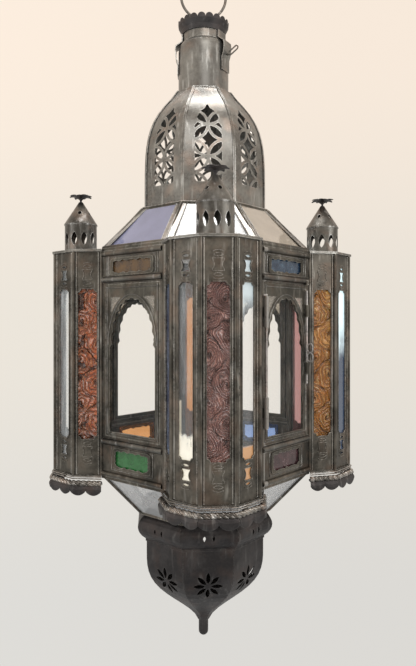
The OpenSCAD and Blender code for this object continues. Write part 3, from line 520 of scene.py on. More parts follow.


# Finishes: a metal's dark, middle and light tones, and a glass's own colour before the others

# The aged sheet paints the door's hinge rolls paler, against the shade on them
AGED = sheet_metal(
    "aged_sheet", (0.04, 0.037, 0.031), (0.15, 0.136, 0.114), (0.5, 0.48, 0.44),
    painted_light_roll_at=tuple(wall_face(0)(HINGE_X, 0.0, HINGE_OUT)))
FRAME = sheet_metal(
    "aged_frame", (0.038, 0.036, 0.03), (0.13, 0.12, 0.099), (0.48, 0.46, 0.41))
RUBBED = sheet_metal(
    "rubbed_sheet", (0.13, 0.126, 0.116), (0.29, 0.282, 0.257), (0.7, 0.7, 0.67),
    roughness=0.38, dents=0.25)
DOME = sheet_metal(
    "dome_sheet", (0.13, 0.126, 0.116), (0.29, 0.282, 0.257), (0.7, 0.7, 0.67),
    roughness=0.33, dents=0.2, bend=dome_bend)
TURRET = sheet_metal(
    "turret_sheet", (0.06, 0.057, 0.051), (0.2, 0.192, 0.172), (0.6, 0.6, 0.59), roughness=0.36)
PALE = sheet_metal(
    "pale_strip", (0.24, 0.23, 0.215), (0.56, 0.55, 0.53), (0.9, 0.9, 0.89), roughness=0.34)
# A dark patina, darker still as painted shade on the bowl, the collar, the skirts' petals and the
# finials, where shade falls; the crown takes it too
DARK_PATINA_AND_SHADE = sheet_metal(
    "sooty_sheet", (0.03, 0.028, 0.029), (0.078, 0.073, 0.073), (0.2, 0.195, 0.19),
    roughness=0.54, wear=0.4, dents=0.35)
BRIGHT = sheet_metal(
    "bright_roll", (0.07, 0.064, 0.057), (0.33, 0.305, 0.27), (0.9, 0.88, 0.85),
    roughness=0.3, wear=0.9)
WIRE = sheet_metal(
    "drawn_wire", (0.06, 0.054, 0.047), (0.17, 0.155, 0.135), (0.6, 0.57, 0.52), roughness=0.34)
# The slide bolt's rod and the hinge pin are painted pale and less metallic: a painted highlight
# along them
BOLT_WIRE = sheet_metal(
    "rubbed_wire", (0.26, 0.24, 0.225), (0.52, 0.49, 0.46), (0.95, 0.93, 0.9), roughness=0.3,
    metallic=0.45)
# The ribs' light tones are a painted highlight along the casings' corners
RIB = sheet_metal(
    "worn_rib", (0.09, 0.084, 0.074), (0.27, 0.255, 0.225), (0.8, 0.79, 0.76), roughness=0.3,
    wear=0.9)

CLEAR = window_glass("clear_pane", (0.93, 0.94, 0.88), 0.004, 0.03)
STRIP = strip_clear_glass()
# The roof's clear panes get a thick white haze: a painted reflection of the light above them
ROOF_CLEAR = window_glass("roof_pane_white", (0.99, 0.97, 0.93), 0.36, 0.6)
ROOF_BLUE = plain_glass("roof_pane_violet", (0.4, 0.4, 0.55), 0.45)
ROOF_TAN = plain_glass("roof_pane_tan", (0.55, 0.46, 0.36), 0.3)
LOWER = window_glass("lower_pane", (0.62, 0.62, 0.61), 0.2, 0.4)
ROSE = pressed_glass(
    "rose_glass", (0.8, 0.47, 0.41), (0.27, 0.12, 0.1), (1.0, 0.85, 0.84), (0.8, 0.46, 0.46),
    ridge=2.3, blots=0.5)
RED = pressed_glass(
    "red_orange_glass", (0.74, 0.29, 0.13), (0.2, 0.06, 0.04), (1.0, 0.78, 0.76),
    (0.9, 0.35, 0.15), ridge=4.8, length=44.0, glint_side=-1.0, blots=1.0, drawn=0.6)
AMBER = pressed_glass(
    "amber_glass", (1.0, 0.46, 0.11), (0.38, 0.14, 0.035), (1.0, 0.74, 0.34), (1.0, 0.48, 0.17),
    ridge=4.2, length=46.0, clearness=0.74, glints=0.8, glint_side=-1.0, blots=0.3, drawn=0.62)
BLUE = strip_blue_glass()
# The amber small light's darkness is partly its glass and partly painted shade where it sits
# recessed
TOP_AMBER = mottled_glass(
    "amber_light_glass", (0.14, 0.085, 0.05), (0.24, 0.13, 0.05), (0.4, 0.36, 0.26), glints=0.3)
TOP_BLUE = mottled_glass(
    "blue_light_glass", (0.03, 0.06, 0.11), (0.09, 0.15, 0.22), (0.45, 0.6, 0.62))
GREEN = mottled_glass(
    "green_glass", (0.04, 0.2, 0.055), (0.06, 0.26, 0.08), (0.2, 0.55, 0.25), glints=0.25)
PURPLE = mottled_glass(
    "wine_glass", (0.07, 0.035, 0.038), (0.13, 0.062, 0.065), (0.5, 0.34, 0.34), fine=330.0,
    glints=0.8)
CREAM = mottled_glass(
    "cream_light_glass", (0.62, 0.56, 0.47), (0.86, 0.8, 0.7), (1.0, 1.0, 0.96), fine=420.0,
    glints=0.8, clearness=0.75)
ORANGE = plain_glass("orange_glass", (1.0, 0.5, 0.2), 0.9)
SKY = plain_glass("sky_glass", (0.36, 0.54, 1.0), 0.9)

FINISHES = [
    (AGED, "wall_front_right wall_back_right wall_back_left wall_front_left bay_casing_front "
           "bay_casing_right bay_casing_back bay_casing_left bay_floors lower_frame candle_tray "
           "bay_skirts"),
    (FRAME, "window_frame_front_left window_frame_back_left window_frame_back_right door_frame "
            "bolt_guides roof_frame"),
    (DOME, "dome_gores"),
    (RUBBED, "dome_seams neck_tube bay_tops neck_strap cap_band"),
    (TURRET, "turret_drums turret_roofs turret_finials"),
    (DARK_PATINA_AND_SHADE, "lower_collar bowl_gores bowl_tip crown"),
    (BRIGHT, "candle_cup"),
    (BOLT_WIRE, "door_bolt hinge_pin"),
    (WIRE, "hanging_ring ring_staple neck_pin"),
    (CLEAR, "window_panes door_pane"),
    (STRIP, "bay_glass_clear"),
    (ROOF_CLEAR, "roof_glass_clear"),
    (ROOF_BLUE, "roof_glass_blue"),
    (ROOF_TAN, "roof_glass_amber"),
    (LOWER, "lower_panes"),
    (ROSE, "bay_glass_rose"),
    (RED, "bay_glass_red"),
    (AMBER, "bay_glass_amber"),
    (BLUE, "bay_glass_blue"),
    (TOP_AMBER, "top_lights_amber"),
    (TOP_BLUE, "top_lights_blue"),
    (GREEN, "bottom_light_green"),
    (PURPLE, "bottom_light_purple"),
    (ORANGE, "bottom_light_orange"),
    (SKY, "bottom_light_sky"),
]

for material, names in FINISHES:
    for name in names.split():
        mesh = nodes[name].data
        mesh.materials.clear()
        mesh.materials.append(material)


# What repeats or follows a line


def tree(name, numbers):
    """An empty geometry tree with lines, named sizes and a material going in."""
    made = bpy.data.node_groups.new(name, "GeometryNodeTree")
    made.interface.new_socket("Lines", in_out="INPUT", socket_type="NodeSocketGeometry")
    for number in numbers:
        made.interface.new_socket(number, in_out="INPUT", socket_type="NodeSocketFloat")
    made.interface.new_socket("Finish", in_out="INPUT", socket_type="NodeSocketMaterial")
    made.interface.new_socket("Shape", in_out="OUTPUT", socket_type="NodeSocketGeometry")
    maker = Maker(made)
    sockets = ["Lines", *numbers, "Finish"]
    return maker, {socket: maker.node("NodeGroupInput", out=socket) for socket in sockets}


def close(maker, shape, finish):
    """Smooth shading, real geometry, the material and the tree's output."""
    shape = maker.node("GeometryNodeSetShadeSmooth", None, {0: shape})
    shape = maker.node("GeometryNodeRealizeInstances", None, {0: shape})
    shape = maker.node("GeometryNodeSetMaterial", None, {0: shape, "Material": finish})
    maker.node("NodeGroupOutput", None, {"Shape": shape})
    return maker.tree


def wire_tree():
    """Round wire along each line."""
    maker, given = tree("wire_on_lines", ["Wire radius"])
    curve = maker.node("GeometryNodeMeshToCurve", None, {0: given["Lines"]})
    round_wire = maker.node(
        "GeometryNodeCurvePrimitiveCircle", None,
        {"Resolution": 8, "Radius": given["Wire radius"]})
    wire = maker.node(
        "GeometryNodeCurveToMesh", None,
        {"Curve": curve, "Profile Curve": round_wire, "Fill Caps": True})
    return close(maker, wire, given["Finish"])


STRANDS = 3


def rope_tree():
    """Strands twisted round each line, which turns its corners in small bends."""
    maker, given = tree(
        "twisted_rope", ["Strand radius", "Twist radius", "Length of a turn", "Corner radius"])
    curve = maker.node("GeometryNodeMeshToCurve", None, {0: given["Lines"]})
    curve = maker.node(
        "GeometryNodeFilletCurve", {"mode": "POLY"},
        {"Curve": curve, "Count": 5, "Radius": given["Corner radius"], "Limit Radius": True})
    curve = maker.node(
        "GeometryNodeResampleCurve", {"mode": "LENGTH"}, {"Curve": curve, "Length": 0.0009})
    normal = maker.node("GeometryNodeInputNormal")
    tangent = maker.node("GeometryNodeInputTangent")
    beside = maker.vector("CROSS_PRODUCT", tangent, normal)
    run = maker.node("GeometryNodeSplineParameter", out="Length")
    profile = maker.node(
        "GeometryNodeCurvePrimitiveCircle", None,
        {"Resolution": 8, "Radius": given["Strand radius"]})
    wires = []
    for strand in range(STRANDS):
        turn = (run / given["Length of a turn"] + strand / STRANDS) * (2 * math.pi)
        aside = maker.scaled(normal, turn.math("COSINE") * given["Twist radius"])
        above = maker.scaled(beside, turn.math("SINE") * given["Twist radius"])
        step = maker.vector("ADD", aside, above)
        line = maker.node("GeometryNodeSetPosition", None, {0: curve, "Offset": step})
        wires.append(maker.node(
            "GeometryNodeCurveToMesh", None,
            {"Curve": line, "Profile Curve": profile, "Fill Caps": True}))
    rope = maker.node("GeometryNodeJoinGeometry", None, {0: wires})
    return close(maker, rope, given["Finish"])


WIRE_TREE, ROPE_TREE = wire_tree(), rope_tree()


def grown(name, paths, group, finish, body="lantern", slot="aged_metal", **sizes):
    """A plain mesh grown on lines by a geometry tree; sizes are in millimetres."""
    seed = bpy.data.objects.new(name + "_lines", lines_mesh(name + "_lines", paths))
    bpy.context.scene.collection.objects.link(seed)
    modifier = seed.modifiers.new("grow", "NODES")
    modifier.node_group = group
    values = {key.replace("_", " ").capitalize(): size * MM for key, size in sizes.items()}
    values["Finish"] = finish
    for item in group.interface.items_tree:
        if item.in_out == "INPUT" and item.name in values:
            modifier[item.identifier] = values[item.name]
    seed.update_tag()
    mesh = bpy.data.meshes.new_from_object(
        seed.evaluated_get(bpy.context.evaluated_depsgraph_get()))
    mesh.name = name
    bpy.data.objects.remove(seed)
    return piece(name, mesh, finish, body)


# Bays: ribs beside the corner beads, rims round the glass, and the stamped ends


# Width of the glass strip in each face of a bay, and the rims' lower and upper edges
STRIP_W = (21.0, 17.0, 21.0, 17.0, 21.0)
STRIP_FOOT, STRIP_HEAD = 37.7, BODY_H - 39.7
# Feet of the small hourglass windows, which have a stamped slit and arc above and below
HOURGLASS_Z = (19.5, BODY_H - 30.0)
HOURGLASS_HALF, HOURGLASS_H = 5.0, 10.5
SLIT_GAP, SLIT_HALF, SLIT_RISE = 3.7, 4.5, 1.5
ARC_HALF, ARC_RISE = 5.0, 1.4
# Where the ribs stand on each face: in from the corners, and short of the casing's ends
RIB_INSET, RIB_GAP = 3.3, 1.0


def strip_rim(point, width):
    """Rim of a strip of glass, drawn in at its four corners."""
    cusp, half, line = width / 6, width / 2, []
    corners = (
        (half, STRIP_HEAD, 270), (-half, STRIP_HEAD, 0), (-half, STRIP_FOOT, 90),
        (half, STRIP_FOOT, 180))
    for x, z, start in corners:
        for step in range(0, 91, 18):
            a = math.radians(start - step)
            line.append(point(x + cusp * math.cos(a), z + cusp * math.sin(a), LIFT))
    return line, True


def hourglass_rim(point, z):
    """A rim round a small square window that is drawn in at both sides."""
    grow, waist, flank_half = 0.5, 1.8, 4.4
    half = HOURGLASS_HALF + grow
    flank = [
        (half - waist * (1 - s * s), HOURGLASS_H / 2 + flank_half * s)
        for s in (t / 3 for t in range(-3, 4))]
    right = [(half, -grow), *flank, (half, HOURGLASS_H + grow)]
    left = [(-x, dz) for x, dz in reversed(right)]
    return [point(x, z + dz, LIFT) for x, dz in right + left], True


def slit_rim(point, z):
    """A rim round a narrow slit, pointed at both ends."""
    steps = [s / 4 for s in range(-4, 4)]
    line = [(SLIT_HALF * s, -SLIT_RISE * (1 - s * s)) for s in steps]
    line += [(-x, -dz) for x, dz in line]
    return [point(x, z + dz, LIFT) for x, dz in line], True


def stamped_arc(point, z, rise):
    """A stamped line, bowed by rise."""
    steps = [s / 4 for s in range(-4, 5)]
    return [point(ARC_HALF * s, z + rise * (1 - s * s), LIFT) for s in steps], False


def dress_bays():
    ribs, rims, stamps = [], [], []
    for i, width, point in bay_faces():
        edge = width / 2 - RIB_INSET
        for x in (-edge, edge):
            ribs.append(([point(x, z, 0.0) for z in (RIB_GAP, BODY_H - RIB_GAP)], False))
        rims.append(strip_rim(point, STRIP_W[i] + 0.6))
        for z in HOURGLASS_Z:
            stamps.append(hourglass_rim(point, z))
            for slit, rise in (
                    (z - SLIT_GAP, -ARC_RISE), (z + HOURGLASS_H + SLIT_GAP, ARC_RISE)):
                stamps.append(slit_rim(point, slit))
                stamps.append(stamped_arc(point, slit + 2.0 * rise, rise))
    grown("casing_ribs", ribs, WIRE_TREE, RIB, wire_radius=1.0)
    grown("strip_rims", rims, WIRE_TREE, AGED, wire_radius=0.6)
    grown("stamped_ends", stamps, WIRE_TREE, AGED, wire_radius=0.5)


# Skirts: two ledges, a twisted rope and rounded petals under it


# Distance out of the casing and height, of the rope, the ledges and the petals' bent sheet
ROPE_PLACE = (3.6, -8.6)
LEDGE_PLACES = [(3.3, -1.8), (2.7, -4.0)]
PETAL_PROFILE = [
    (2.4, -7.0), (3.4, -10.0), (4.8, -12.6), (5.7, -15.2), (5.8, -18.0), (5.4, -21.0)]


def round_bays(distance, z):
    """A line round the five faces of each bay."""
    line = moved_out(BAY_PLAN, distance)
    return [([at(*turned(x, y, 90 * k), z) for x, y in line], False) for k in range(4)]


def dress_skirts():
    rope = grown(
        "skirt_ropes", round_bays(*ROPE_PLACE), ROPE_TREE, BRIGHT, slot="worn_metal",
        strand_radius=1.75, twist_radius=1.45, length_of_a_turn=17.0, corner_radius=5.0)
    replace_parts(rope, "bay_skirts")
    ledges = [path for place in LEDGE_PLACES for path in round_bays(*place)]
    grown("skirt_ledges", ledges, WIRE_TREE, BRIGHT, slot="worn_metal", wire_radius=0.7)
    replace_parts(petal_skirt(), "bay_skirts")


def petal_skirt():
    """A bent sheet under the rope of each bay, its lower edge cut in rounded petals."""
    petals, steps, notch = 2, 24, 5.0
    rows = [moved_out(BAY_PLAN, distance) for distance, _ in PETAL_PROFILE]
    points, faces = [], []
    for k in range(4):
        for i in range(len(BAY_PLAN) - 1):
            faces += grid_faces(len(points), len(rows), steps + 1)
            for r, (_, z) in enumerate(PETAL_PROFILE):
                share = r / (len(rows) - 1)
                a, b = Vector(rows[r][i]), Vector(rows[r][i + 1])
                for step in range(steps + 1):
                    s = step / steps
                    lobe = abs(math.sin(math.pi * petals * s)) ** 0.7
                    p = a + (b - a) * s
                    drop = z + (1 - lobe) * notch * share * share
                    points.append(at(*turned(p.x, p.y, 90 * k), drop))
    made = piece("skirt_petals", sheet_mesh("skirt_petals", points, faces), DARK_PATINA_AND_SHADE)
    thicken(made, 1.0, 1.0)
    return made


# Walls: rolls and ledges round the windows, and borders and masks round the small lights


# The small lights: half width, lower and upper edge, and how far out their borders are
LIGHTS = [(30.0, 214.0, 230.0, (2.6, 4.4)), (26.0, 11.0, 31.0, (2.6,))]
# Heights of the rolls under and over the windows, with a ledge on each side of each
WINDOW_ROLLS = (37.25, 209.0)
LEDGE_GAP = 3.6
# Heights of the rolls at the wall's ends
END_ROLLS = (236.4, 3.0)
# Half lengths of the window rolls and of the others; the one over the door ends before the
# slide bolt's keeper
ROLL_HALF, LEDGE_HALF, KEEPER_EDGE = 43.5, 44.0, 35.5


def level_line(point, start, end, z, out):
    """A level line on a wall."""
    return [point(start, z, out), point(end, z, out)], False


def border(point, half, low, high, grow):
    """A border round a small light, farther from it at the sides than above and below."""
    x = half + grow * 1.8
    corners = ((-x, low - grow), (x, low - grow), (x, high + grow), (-x, high + grow))
    return [point(*corner, LIFT) for corner in corners], True


def dress_walls():
    borders, ledges, end_rolls, window_rolls = [], [], [], []
    for k in range(4):
        point = wall_face(k)
        for z in WINDOW_ROLLS:
            end = KEEPER_EDGE if k == 0 and z == max(WINDOW_ROLLS) else ROLL_HALF
            window_rolls.append(level_line(point, -ROLL_HALF, end, z, 0.6))
        for half, low, high, distances in LIGHTS:
            borders += [border(point, half, low, high, grow) for grow in distances]
        ledges += [
            level_line(point, -LEDGE_HALF, LEDGE_HALF, z + step, 0.3)
            for z in WINDOW_ROLLS for step in (-LEDGE_GAP, LEDGE_GAP)]
        end_rolls += [level_line(point, -LEDGE_HALF, LEDGE_HALF, z, 0.6) for z in END_ROLLS]
    grown("light_borders", borders, WIRE_TREE, TURRET, wire_radius=0.6)
    grown("wall_ledges", ledges, WIRE_TREE, AGED, wire_radius=0.7)
    grown("window_rolls", window_rolls, WIRE_TREE, TURRET, wire_radius=3.0)
    grown("wall_rolls", end_rolls, WIRE_TREE, AGED, wire_radius=2.6)
    light_masks()


def light_masks():
    """Thin plates before the small lights, with a wavy edge round the glass."""
    points, faces = [], []
    steps, power = 96, 8
    margin_x, margin_z, outer_lift, inner_lift = 2.4, 1.2, 0.5, 0.35
    for k in range(4):
        point = wall_face(k)
        for half, low, high, _ in LIGHTS:
            middle, tall = (low + high) / 2, (high - low) / 2
            first = len(points)
            for s in range(steps):
                a = 2 * math.pi * s / steps
                across, up = math.cos(a), math.sin(a)
                reach = (abs(across) ** power + abs(up) ** power) ** (-1 / power)
                wave = 1.7 + 0.5 * math.sin(15 * a) + 0.4 * math.sin(23 * a + k)
                for w, t, out in (
                        (half + margin_x, tall + margin_z, outer_lift),
                        (half - wave, tall - wave, inner_lift)):
                    points.append(point(w * across * reach, middle + t * up * reach, out))
            for s in range(steps):
                n = (s + 1) % steps
                faces.append((first + 2 * s, first + 2 * n, first + 2 * n + 1, first + 2 * s + 1))
    thicken(piece("light_masks", sheet_mesh("light_masks", points, faces), FRAME), 0.5, 1.0)


# Window frames and the door's: a lobed arch with a cut corner on each side above it


# The opening's half width and foot, the arch's springing, and the half ellipse of its lobes
OPENING_HALF, OPENING_FOOT, SPRINGING = 33.7, 48.1, 140.4
ARCH_HALF, ARCH_RISE = 32.5, 48.8
FRAME_DEPTH = 3.0
# The cut corners: their upper edge, their outer edge, and how far they stay off the arch
CORNER_TOP, CORNER_SIDE, CORNER_GAP = 190.0, 32.4, 6.4
# Mouldings on a frame: distance out of the arch, then places and ends of the upright ones and
# of the level ones
ARCH_MOULDING = 3.4
STILE_X, STILE_ENDS = 37.4, (46.0, 201.4)
RAIL_Z, RAIL_END = (200.0, 46.2), 36.0
# The leaf's fold: an edge beside the slide bolt, in the bright finish as a painted highlight
FOLD_X, FOLD_ENDS = 38.9, (47.0, 200.0)
# Heights of the feet of the leaf's two rolled knuckles, each the middle one of three
HINGE_INSET = DOOR_GAP + 14.0
DOOR_KNUCKLES = (
    WINDOW_FOOT + HINGE_INSET + KNUCKLE_H + KNUCKLE_GAP,
    WINDOW_HEAD - HINGE_INSET - 2 * KNUCKLE_H - KNUCKLE_GAP)


def arch_opening():
    """Outline of the opening: straight sides, a slant in, then lobes up and over the arch."""
    lobes, steps, slant_in, slant_up = 11, 6, 2.2, 3.0
    side = [
        (OPENING_HALF, OPENING_FOOT), (OPENING_HALF, SPRINGING - slant_up),
        (OPENING_HALF - slant_in, SPRINGING)]
    arch = []
    for s in range(lobes * steps + 1):
        a = math.pi * s / (lobes * steps)
        cusp = 1.9 * abs(math.cos(math.pi * s / steps)) ** 3
        arch.append((
            (ARCH_HALF - cusp) * math.cos(a), SPRINGING + (ARCH_RISE - cusp) * math.sin(a) ** 0.95))
    return side + arch + [(-x, z) for x, z in reversed(side)]


def arch_over(grow, last=180.0, steps=32):
    """The arch's curve, grown outward, from its right foot up to the angle last."""
    angles = [math.radians(last * s / steps) for s in range(steps + 1)]
    return [
        ((ARCH_HALF + grow) * math.cos(a), SPRINGING + (ARCH_RISE + grow) * math.sin(a))
        for a in angles]


def corner_opening(side):
    """The three-sided opening between the arch, the stile and the top rail."""
    curve = [
        (x, z) for x, z in arch_over(CORNER_GAP, 90.0, 60) if x < CORNER_SIDE and z < CORNER_TOP]
    line = [
        *curve, (curve[-1][0], CORNER_TOP), (CORNER_SIDE, CORNER_TOP), (CORNER_SIDE, curve[0][1])]
    return [(x * side, z) for x, z in line]


def arch_frame(name, k, gap, body):
    """A flat frame round its openings, with a wall along each edge."""
    half, low, high = WINDOW_HALF - gap, WINDOW_FOOT + gap, WINDOW_HEAD - gap
    loops = [
        [(-half, low), (half, low), (half, high), (-half, high)],
        arch_opening(), corner_opening(1), corner_opening(-1)]
    rings = [[Vector((x, z, 0.0)) for x, z in loop] for loop in loops]
    flat = [p for ring in rings for p in ring]
    count = len(flat)
    point = wall_face(k)
    points = [point(p.x, p.y, out) for out in (0.0, -FRAME_DEPTH) for p in flat]
    faces = []
    for a, b, c in tessellate_polygon(rings):
        upright = (flat[b] - flat[a]).cross(flat[c] - flat[a]).z > 0
        a, c = (a, c) if upright else (c, a)
        faces += [(a, b, c), (c + count, b + count, a + count)]
    first = 0
    for loop in loops:
        spin = sum(p[0] * q[1] - q[0] * p[1] for p, q in zip(loop, loop[1:] + loop[:1]))
        outward = (spin > 0) == (first == 0)
        for s in range(len(loop)):
            a, b = first + s, first + (s + 1) % len(loop)
            if not outward:
                a, b = b, a
            faces.append((a, a + count, b + count, b))
        first += len(loop)
    return piece(name, sheet_mesh(name, points, faces), FRAME, body)


def dress_windows():
    for k, name in enumerate(("door_frame", "window_frame_back_right", "window_frame_back_left",
                              "window_frame_front_left")):
        body, gap = ("door", DOOR_GAP) if name == "door_frame" else ("lantern", FRAME_GAP)
        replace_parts(arch_frame(name + "_arch", k, gap, body), name)
        point = wall_face(k)
        mouldings = [([point(x, z, LIFT) for x, z in arch_over(ARCH_MOULDING)], False)]
        mouldings += [
            ([point(x, z, LIFT) for z in STILE_ENDS], False) for x in (-STILE_X, STILE_X)]
        mouldings += [level_line(point, -RAIL_END, RAIL_END, z, LIFT) for z in RAIL_Z]
        grown(name + "_mouldings", mouldings, WIRE_TREE, TURRET, body, wire_radius=0.7)
        corner_lights(name + "_corners", k, body)
    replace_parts(door_knuckles(), "door_frame")
    # The fold's bright finish is a painted highlight along the leaf's edge
    fold = [([wall_face(0)(FOLD_X, z, 0.3) for z in FOLD_ENDS], False)]
    grown("door_fold", fold, WIRE_TREE, BRIGHT, "door", wire_radius=0.6)


def corner_lights(name, k, body):
    """Thin panes of cream glass in the two openings above the arch."""
    sunk, thickness = 1.2, 0.8
    point = wall_face(k)
    points, faces = [], []
    for side in (1, -1):
        first = len(points)
        points += [point(x, z, -sunk) for x, z in corner_opening(side)]
        loop = list(range(first, len(points)))
        faces.append(loop if side == 1 else loop[::-1])
    panes = piece(name, sheet_mesh(name, points, faces), CREAM, body)
    thicken(panes, thickness, -1.0)


def door_knuckles():
    """The leaf's two rolls round the long pin, each with the tab that it is rolled from."""
    points, faces = [], []
    point = wall_face(0)
    middle = point(HINGE_X, 0.0, HINGE_OUT) / MM
    bore, rim, softened = 1.3, KNUCKLE_R - 0.2, 0.3
    tab = [
        (HINGE_X + x, out) for x, out in ((0.3, -0.4), (4.6, -0.4), (4.2, 0.7), (0.3, 1.15))]
    for low in DOOR_KNUCKLES:
        high = low + KNUCKLE_H
        lathe(points, faces, middle.x, middle.y, [
            (bore, low), (rim, low), (KNUCKLE_R, low + softened), (KNUCKLE_R, high - softened),
            (rim, high), (bore, high), (bore, low)], steps=24)
        first = len(points)
        points += [point(x, z, out) for z in (low, high) for x, out in tab]
        faces += [(first + 3, first + 2, first + 1, first), tuple(range(first + 4, first + 8))]
        faces += [
            (first + i, first + (i + 1) % 4, first + (i + 1) % 4 + 4, first + i + 4)
            for i in range(4)]
    return piece("door_knuckles", sheet_mesh("door_knuckles", points, faces), AGED, "door")


# Roof: folded strips with three ridges over the hips, and a roll at its foot and its head


# Distance from the axis and height of a strip's two ends
HIP_ENDS = [(WALL - 2.0, 242.1), (DOME_R + 2.0, DOME_Z - 2.1)]
# A strip's section: distance from its middle line, and how far it stands up
HIP_FOLD = [(-5.8, 1.5), (-3.4, 1.7), (0.0, 2.6), (3.4, 1.7), (5.8, 1.5)]
# Name, finish, distance from the axis, height and radius
ROOF_ROLLS = [
    ("roof_foot_roll", AGED, WALL - 2.4, 243.6, 2.3),
    # The head roll's pale finish is a painted highlight along it
    ("roof_head_roll", PALE, DOME_R + 2.4, DOME_Z - 0.6, 1.6)]


def on_hip(i, distance, side, z):
    """A point beside hip i, on the flat of an octagon at this distance from the axis."""
    x = distance / math.cos(HALF_BEND) - abs(side) * math.sin(HALF_BEND)
    return at(*turned(x, side, 45 * i + 22.5), z)


def dress_roof():
    points, faces, ridges = [], [], []
    for i in range(8):
        lines = [
            [on_hip(i, distance, side, z + lift) for distance, z in HIP_ENDS]
            for side, lift in HIP_FOLD]
        first = len(points)
        points += [p for line in lines for p in line]
        faces += [
            (first + 2 * s, first + 2 * s + 2, first + 2 * s + 3, first + 2 * s + 1)
            for s in range(len(HIP_FOLD) - 1)]
        ridges += [(line, False) for line in lines[::2]]
    strips = piece(
        "hip_strips", sheet_mesh("hip_strips", points, faces), PALE)
    thicken(strips, 0.6, -1.0)
    grown("hip_ridges", ridges, WIRE_TREE, RUBBED, slot="worn_metal", wire_radius=0.7)
    for name, finish, distance, z, radius in ROOF_ROLLS:
        roll = [([on_hip(i, distance, 0.0, z) for i in range(8)], True)]
        grown(name, roll, WIRE_TREE, finish, wire_radius=radius)


# Finials: eight pointed petals, cupped and curled flat at their tips, on a turned stem


# Distance of the turrets' axes from the lantern's, and height that the finials are set from
TURRET_R, FINIAL_Z = 141.0, 301.5
# A petal's distance from the stem's axis, its length and half its width
PETAL_START, PETAL_LENGTH, PETAL_HALF = 1.4, 12.0, 4.9
# Radii and heights of the turned stem
STEM = [(1.3, -2.0), (1.1, 1.0), (1.5, 2.6), (3.2, 3.6), (2.4, 4.3), (0.3, 4.7)]


def petal(points, faces, x, y, degrees, droop):
    """Adds a finial's petal that points outward at an angle; droop bends its tip down."""
    rows, columns = 7, 5
    faces.extend(grid_faces(len(points), rows, columns))
    for i in range(rows):
        u = i / (rows - 1)
        r = PETAL_START + PETAL_LENGTH * u
        half = PETAL_HALF * math.sin(math.pi * min(1.0, 0.12 + 0.88 * u ** 0.85)) + 0.25
        for j in range(columns):
            v = 2 * j / (columns - 1) - 1
            z = 3.4 + 3.4 * math.sin(u * 2.3) + 0.7 * v * v - droop * u * u
            dx, dy = turned(r, v * half, degrees)
            points.append(at(x + dx, y + dy, FINIAL_Z + z))


def dress_turrets():
    petals, stems = ([], []), ([], [])
    for k in range(4):
        x, y = turned(0.0, -TURRET_R, 90 * k)
        for j in range(8):
            droop = 0.5 * math.sin(2.3 * j + k)
            petal(*petals, x, y, 45 * j + 11 * k + 4 * math.sin(3 * j + k), droop)
        lathe(*stems, x, y, [(r, FINIAL_Z + z) for r, z in STEM])
    flowers = piece("finial_petals", sheet_mesh("finial_petals", *petals), DARK_PATINA_AND_SHADE)
    thicken(flowers, 0.7, -1.0)
    smooth = flowers.modifiers.new("curve", "SUBSURF")
    smooth.levels = smooth.render_levels = 1
    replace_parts(flowers, "turret_finials")
    stalks = piece("finial_stems", sheet_mesh("finial_stems", *stems), DARK_PATINA_AND_SHADE)
    stalks.data.shade_smooth()
    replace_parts(stalks, "turret_finials")


dress_bays()
dress_skirts()
dress_walls()
dress_windows()
dress_roof()
dress_turrets()


# Room: plain pale floor, soft lamps, the pale surround and the camera, in metres


FLOOR_Z, FLOOR_R = -1.5, 1.3
CAMERA_PLACE = Vector((-0.057, -0.713, -0.4062))


def floor():
    """A round floor that fades out towards its edge."""
    ring = [(*turned(FLOOR_R, 0.0, degrees), FLOOR_Z) for degrees in range(0, 360, 6)]
    points = [(0.0, 0.0, FLOOR_Z), *ring]
    faces = [(0, i + 1, (i + 1) % len(ring) + 1) for i in range(len(ring))]
    made = bpy.data.objects.new("floor", sheet_mesh("floor", points, faces))
    bpy.context.scene.collection.objects.link(made)
    f = Finish("pale_floor")
    reach = f.vector("LENGTH", f.stretched(1.0, 1.0, 0.0), out="Value")
    grain = f.noise(f.place, 9.0, 3.0)
    colour = f.mix(grain * 0.3, paint(0.74, 0.73, 0.7), paint(0.7, 0.69, 0.66))
    made.data.materials.append(f.shade(
        Base_Color=colour, Roughness=0.9, Alpha=1.0 - reach.rise(0.7, 1.2)))


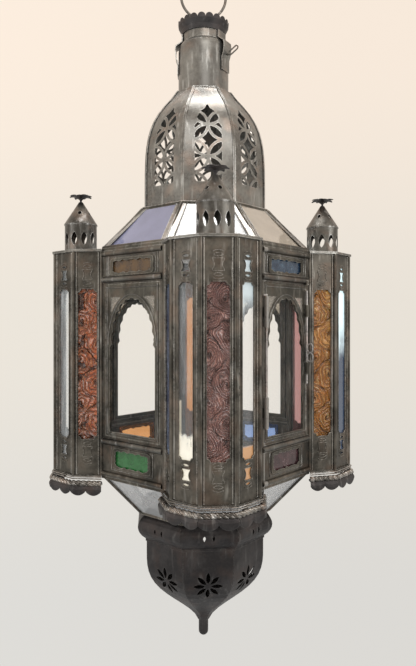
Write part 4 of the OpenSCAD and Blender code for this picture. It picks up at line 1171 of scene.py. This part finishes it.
def surround():
    """Pale walls that the camera, metal and glass see; a plainer grey lights the rest."""
    world = bpy.data.worlds.new("pale_surround")
    bpy.context.scene.world = world
    world.use_nodes = True
    world.node_tree.nodes.clear()
    m = Maker(world.node_tree)
    way = m.node("ShaderNodeTexCoord", out="Generated")
    height = m.node("ShaderNodeSeparateXYZ", None, {"Vector": way}, "Z")
    aside = m.node("ShaderNodeSeparateXYZ", None, {"Vector": way}, "X")
    low = m.mix(height.rise(-0.42, 0.0), paint(0.735, 0.722, 0.69), paint(0.84, 0.79, 0.71))
    shown = m.mix(height.rise(-0.02, 0.42), low, paint(0.98, 0.855, 0.735))
    shown = m.mix(aside.rise(-0.3, 0.3) * 0.09, shown, paint(0.5, 0.46, 0.42))
    seen, glossy, through = [
        m.node("ShaderNodeLightPath", out=f"Is {ray} Ray")
        for ray in ("Camera", "Glossy", "Transmission")]
    seen = (seen + glossy + through).math("MINIMUM", 1.0)
    colour = m.mix(seen, paint(0.55, 0.56, 0.58), shown)
    background = m.node("ShaderNodeBackground", None, {"Color": colour, "Strength": 1.0})
    m.node("ShaderNodeOutputWorld", None, {"Surface": background})


def lamp(name, place, aim, power, size):
    """A soft square lamp that faces aim; power is in watts and size in metres."""
    data = bpy.data.lights.new(name, "AREA")
    data.energy = power
    data.size = size
    made = bpy.data.objects.new(name, data)
    bpy.context.scene.collection.objects.link(made)
    made.location = place
    made.rotation_mode = "QUATERNION"
    made.rotation_quaternion = (Vector(aim) - Vector(place)).to_track_quat("-Z", "Y")


def camera():
    """A level camera that looks at the lantern's axis, framed as the photograph is."""
    data = bpy.data.cameras.new("camera")
    data.lens = 33.19
    data.sensor_width = 36.0
    data.shift_x = 0.0068
    data.shift_y = -0.012
    data.clip_start = 0.02
    made = bpy.data.objects.new("camera", data)
    bpy.context.scene.collection.objects.link(made)
    made.location = CAMERA_PLACE
    made.rotation_mode = "QUATERNION"
    level_view = Vector((-CAMERA_PLACE.x, -CAMERA_PLACE.y, 0.0))
    made.rotation_quaternion = level_view.to_track_quat("-Z", "Y")
    bpy.context.scene.camera = made


floor()
surround()
lamp("overhead_lamp", (0.0, 0.3, 1.0), (0.0, 0.0, -0.2), 11.0, 0.9)
lamp("top_lamp", (0.02, 0.05, 0.9), (0.0, 0.0, -0.3), 3.2, 0.35)
lamp("front_lamp", (0.1, -1.3, 0.7), (0.0, 0.0, -0.35), 7.0, 0.8)
lamp("right_lamp", (1.2, -0.9, -0.1), (0.0, 0.0, -0.4), 6.0, 0.8)
lamp("left_lamp", (-1.3, -0.7, -0.2), (0.0, 0.0, -0.4), 5.0, 0.9)
camera()
bpy.context.scene.view_settings.view_transform = "Standard"
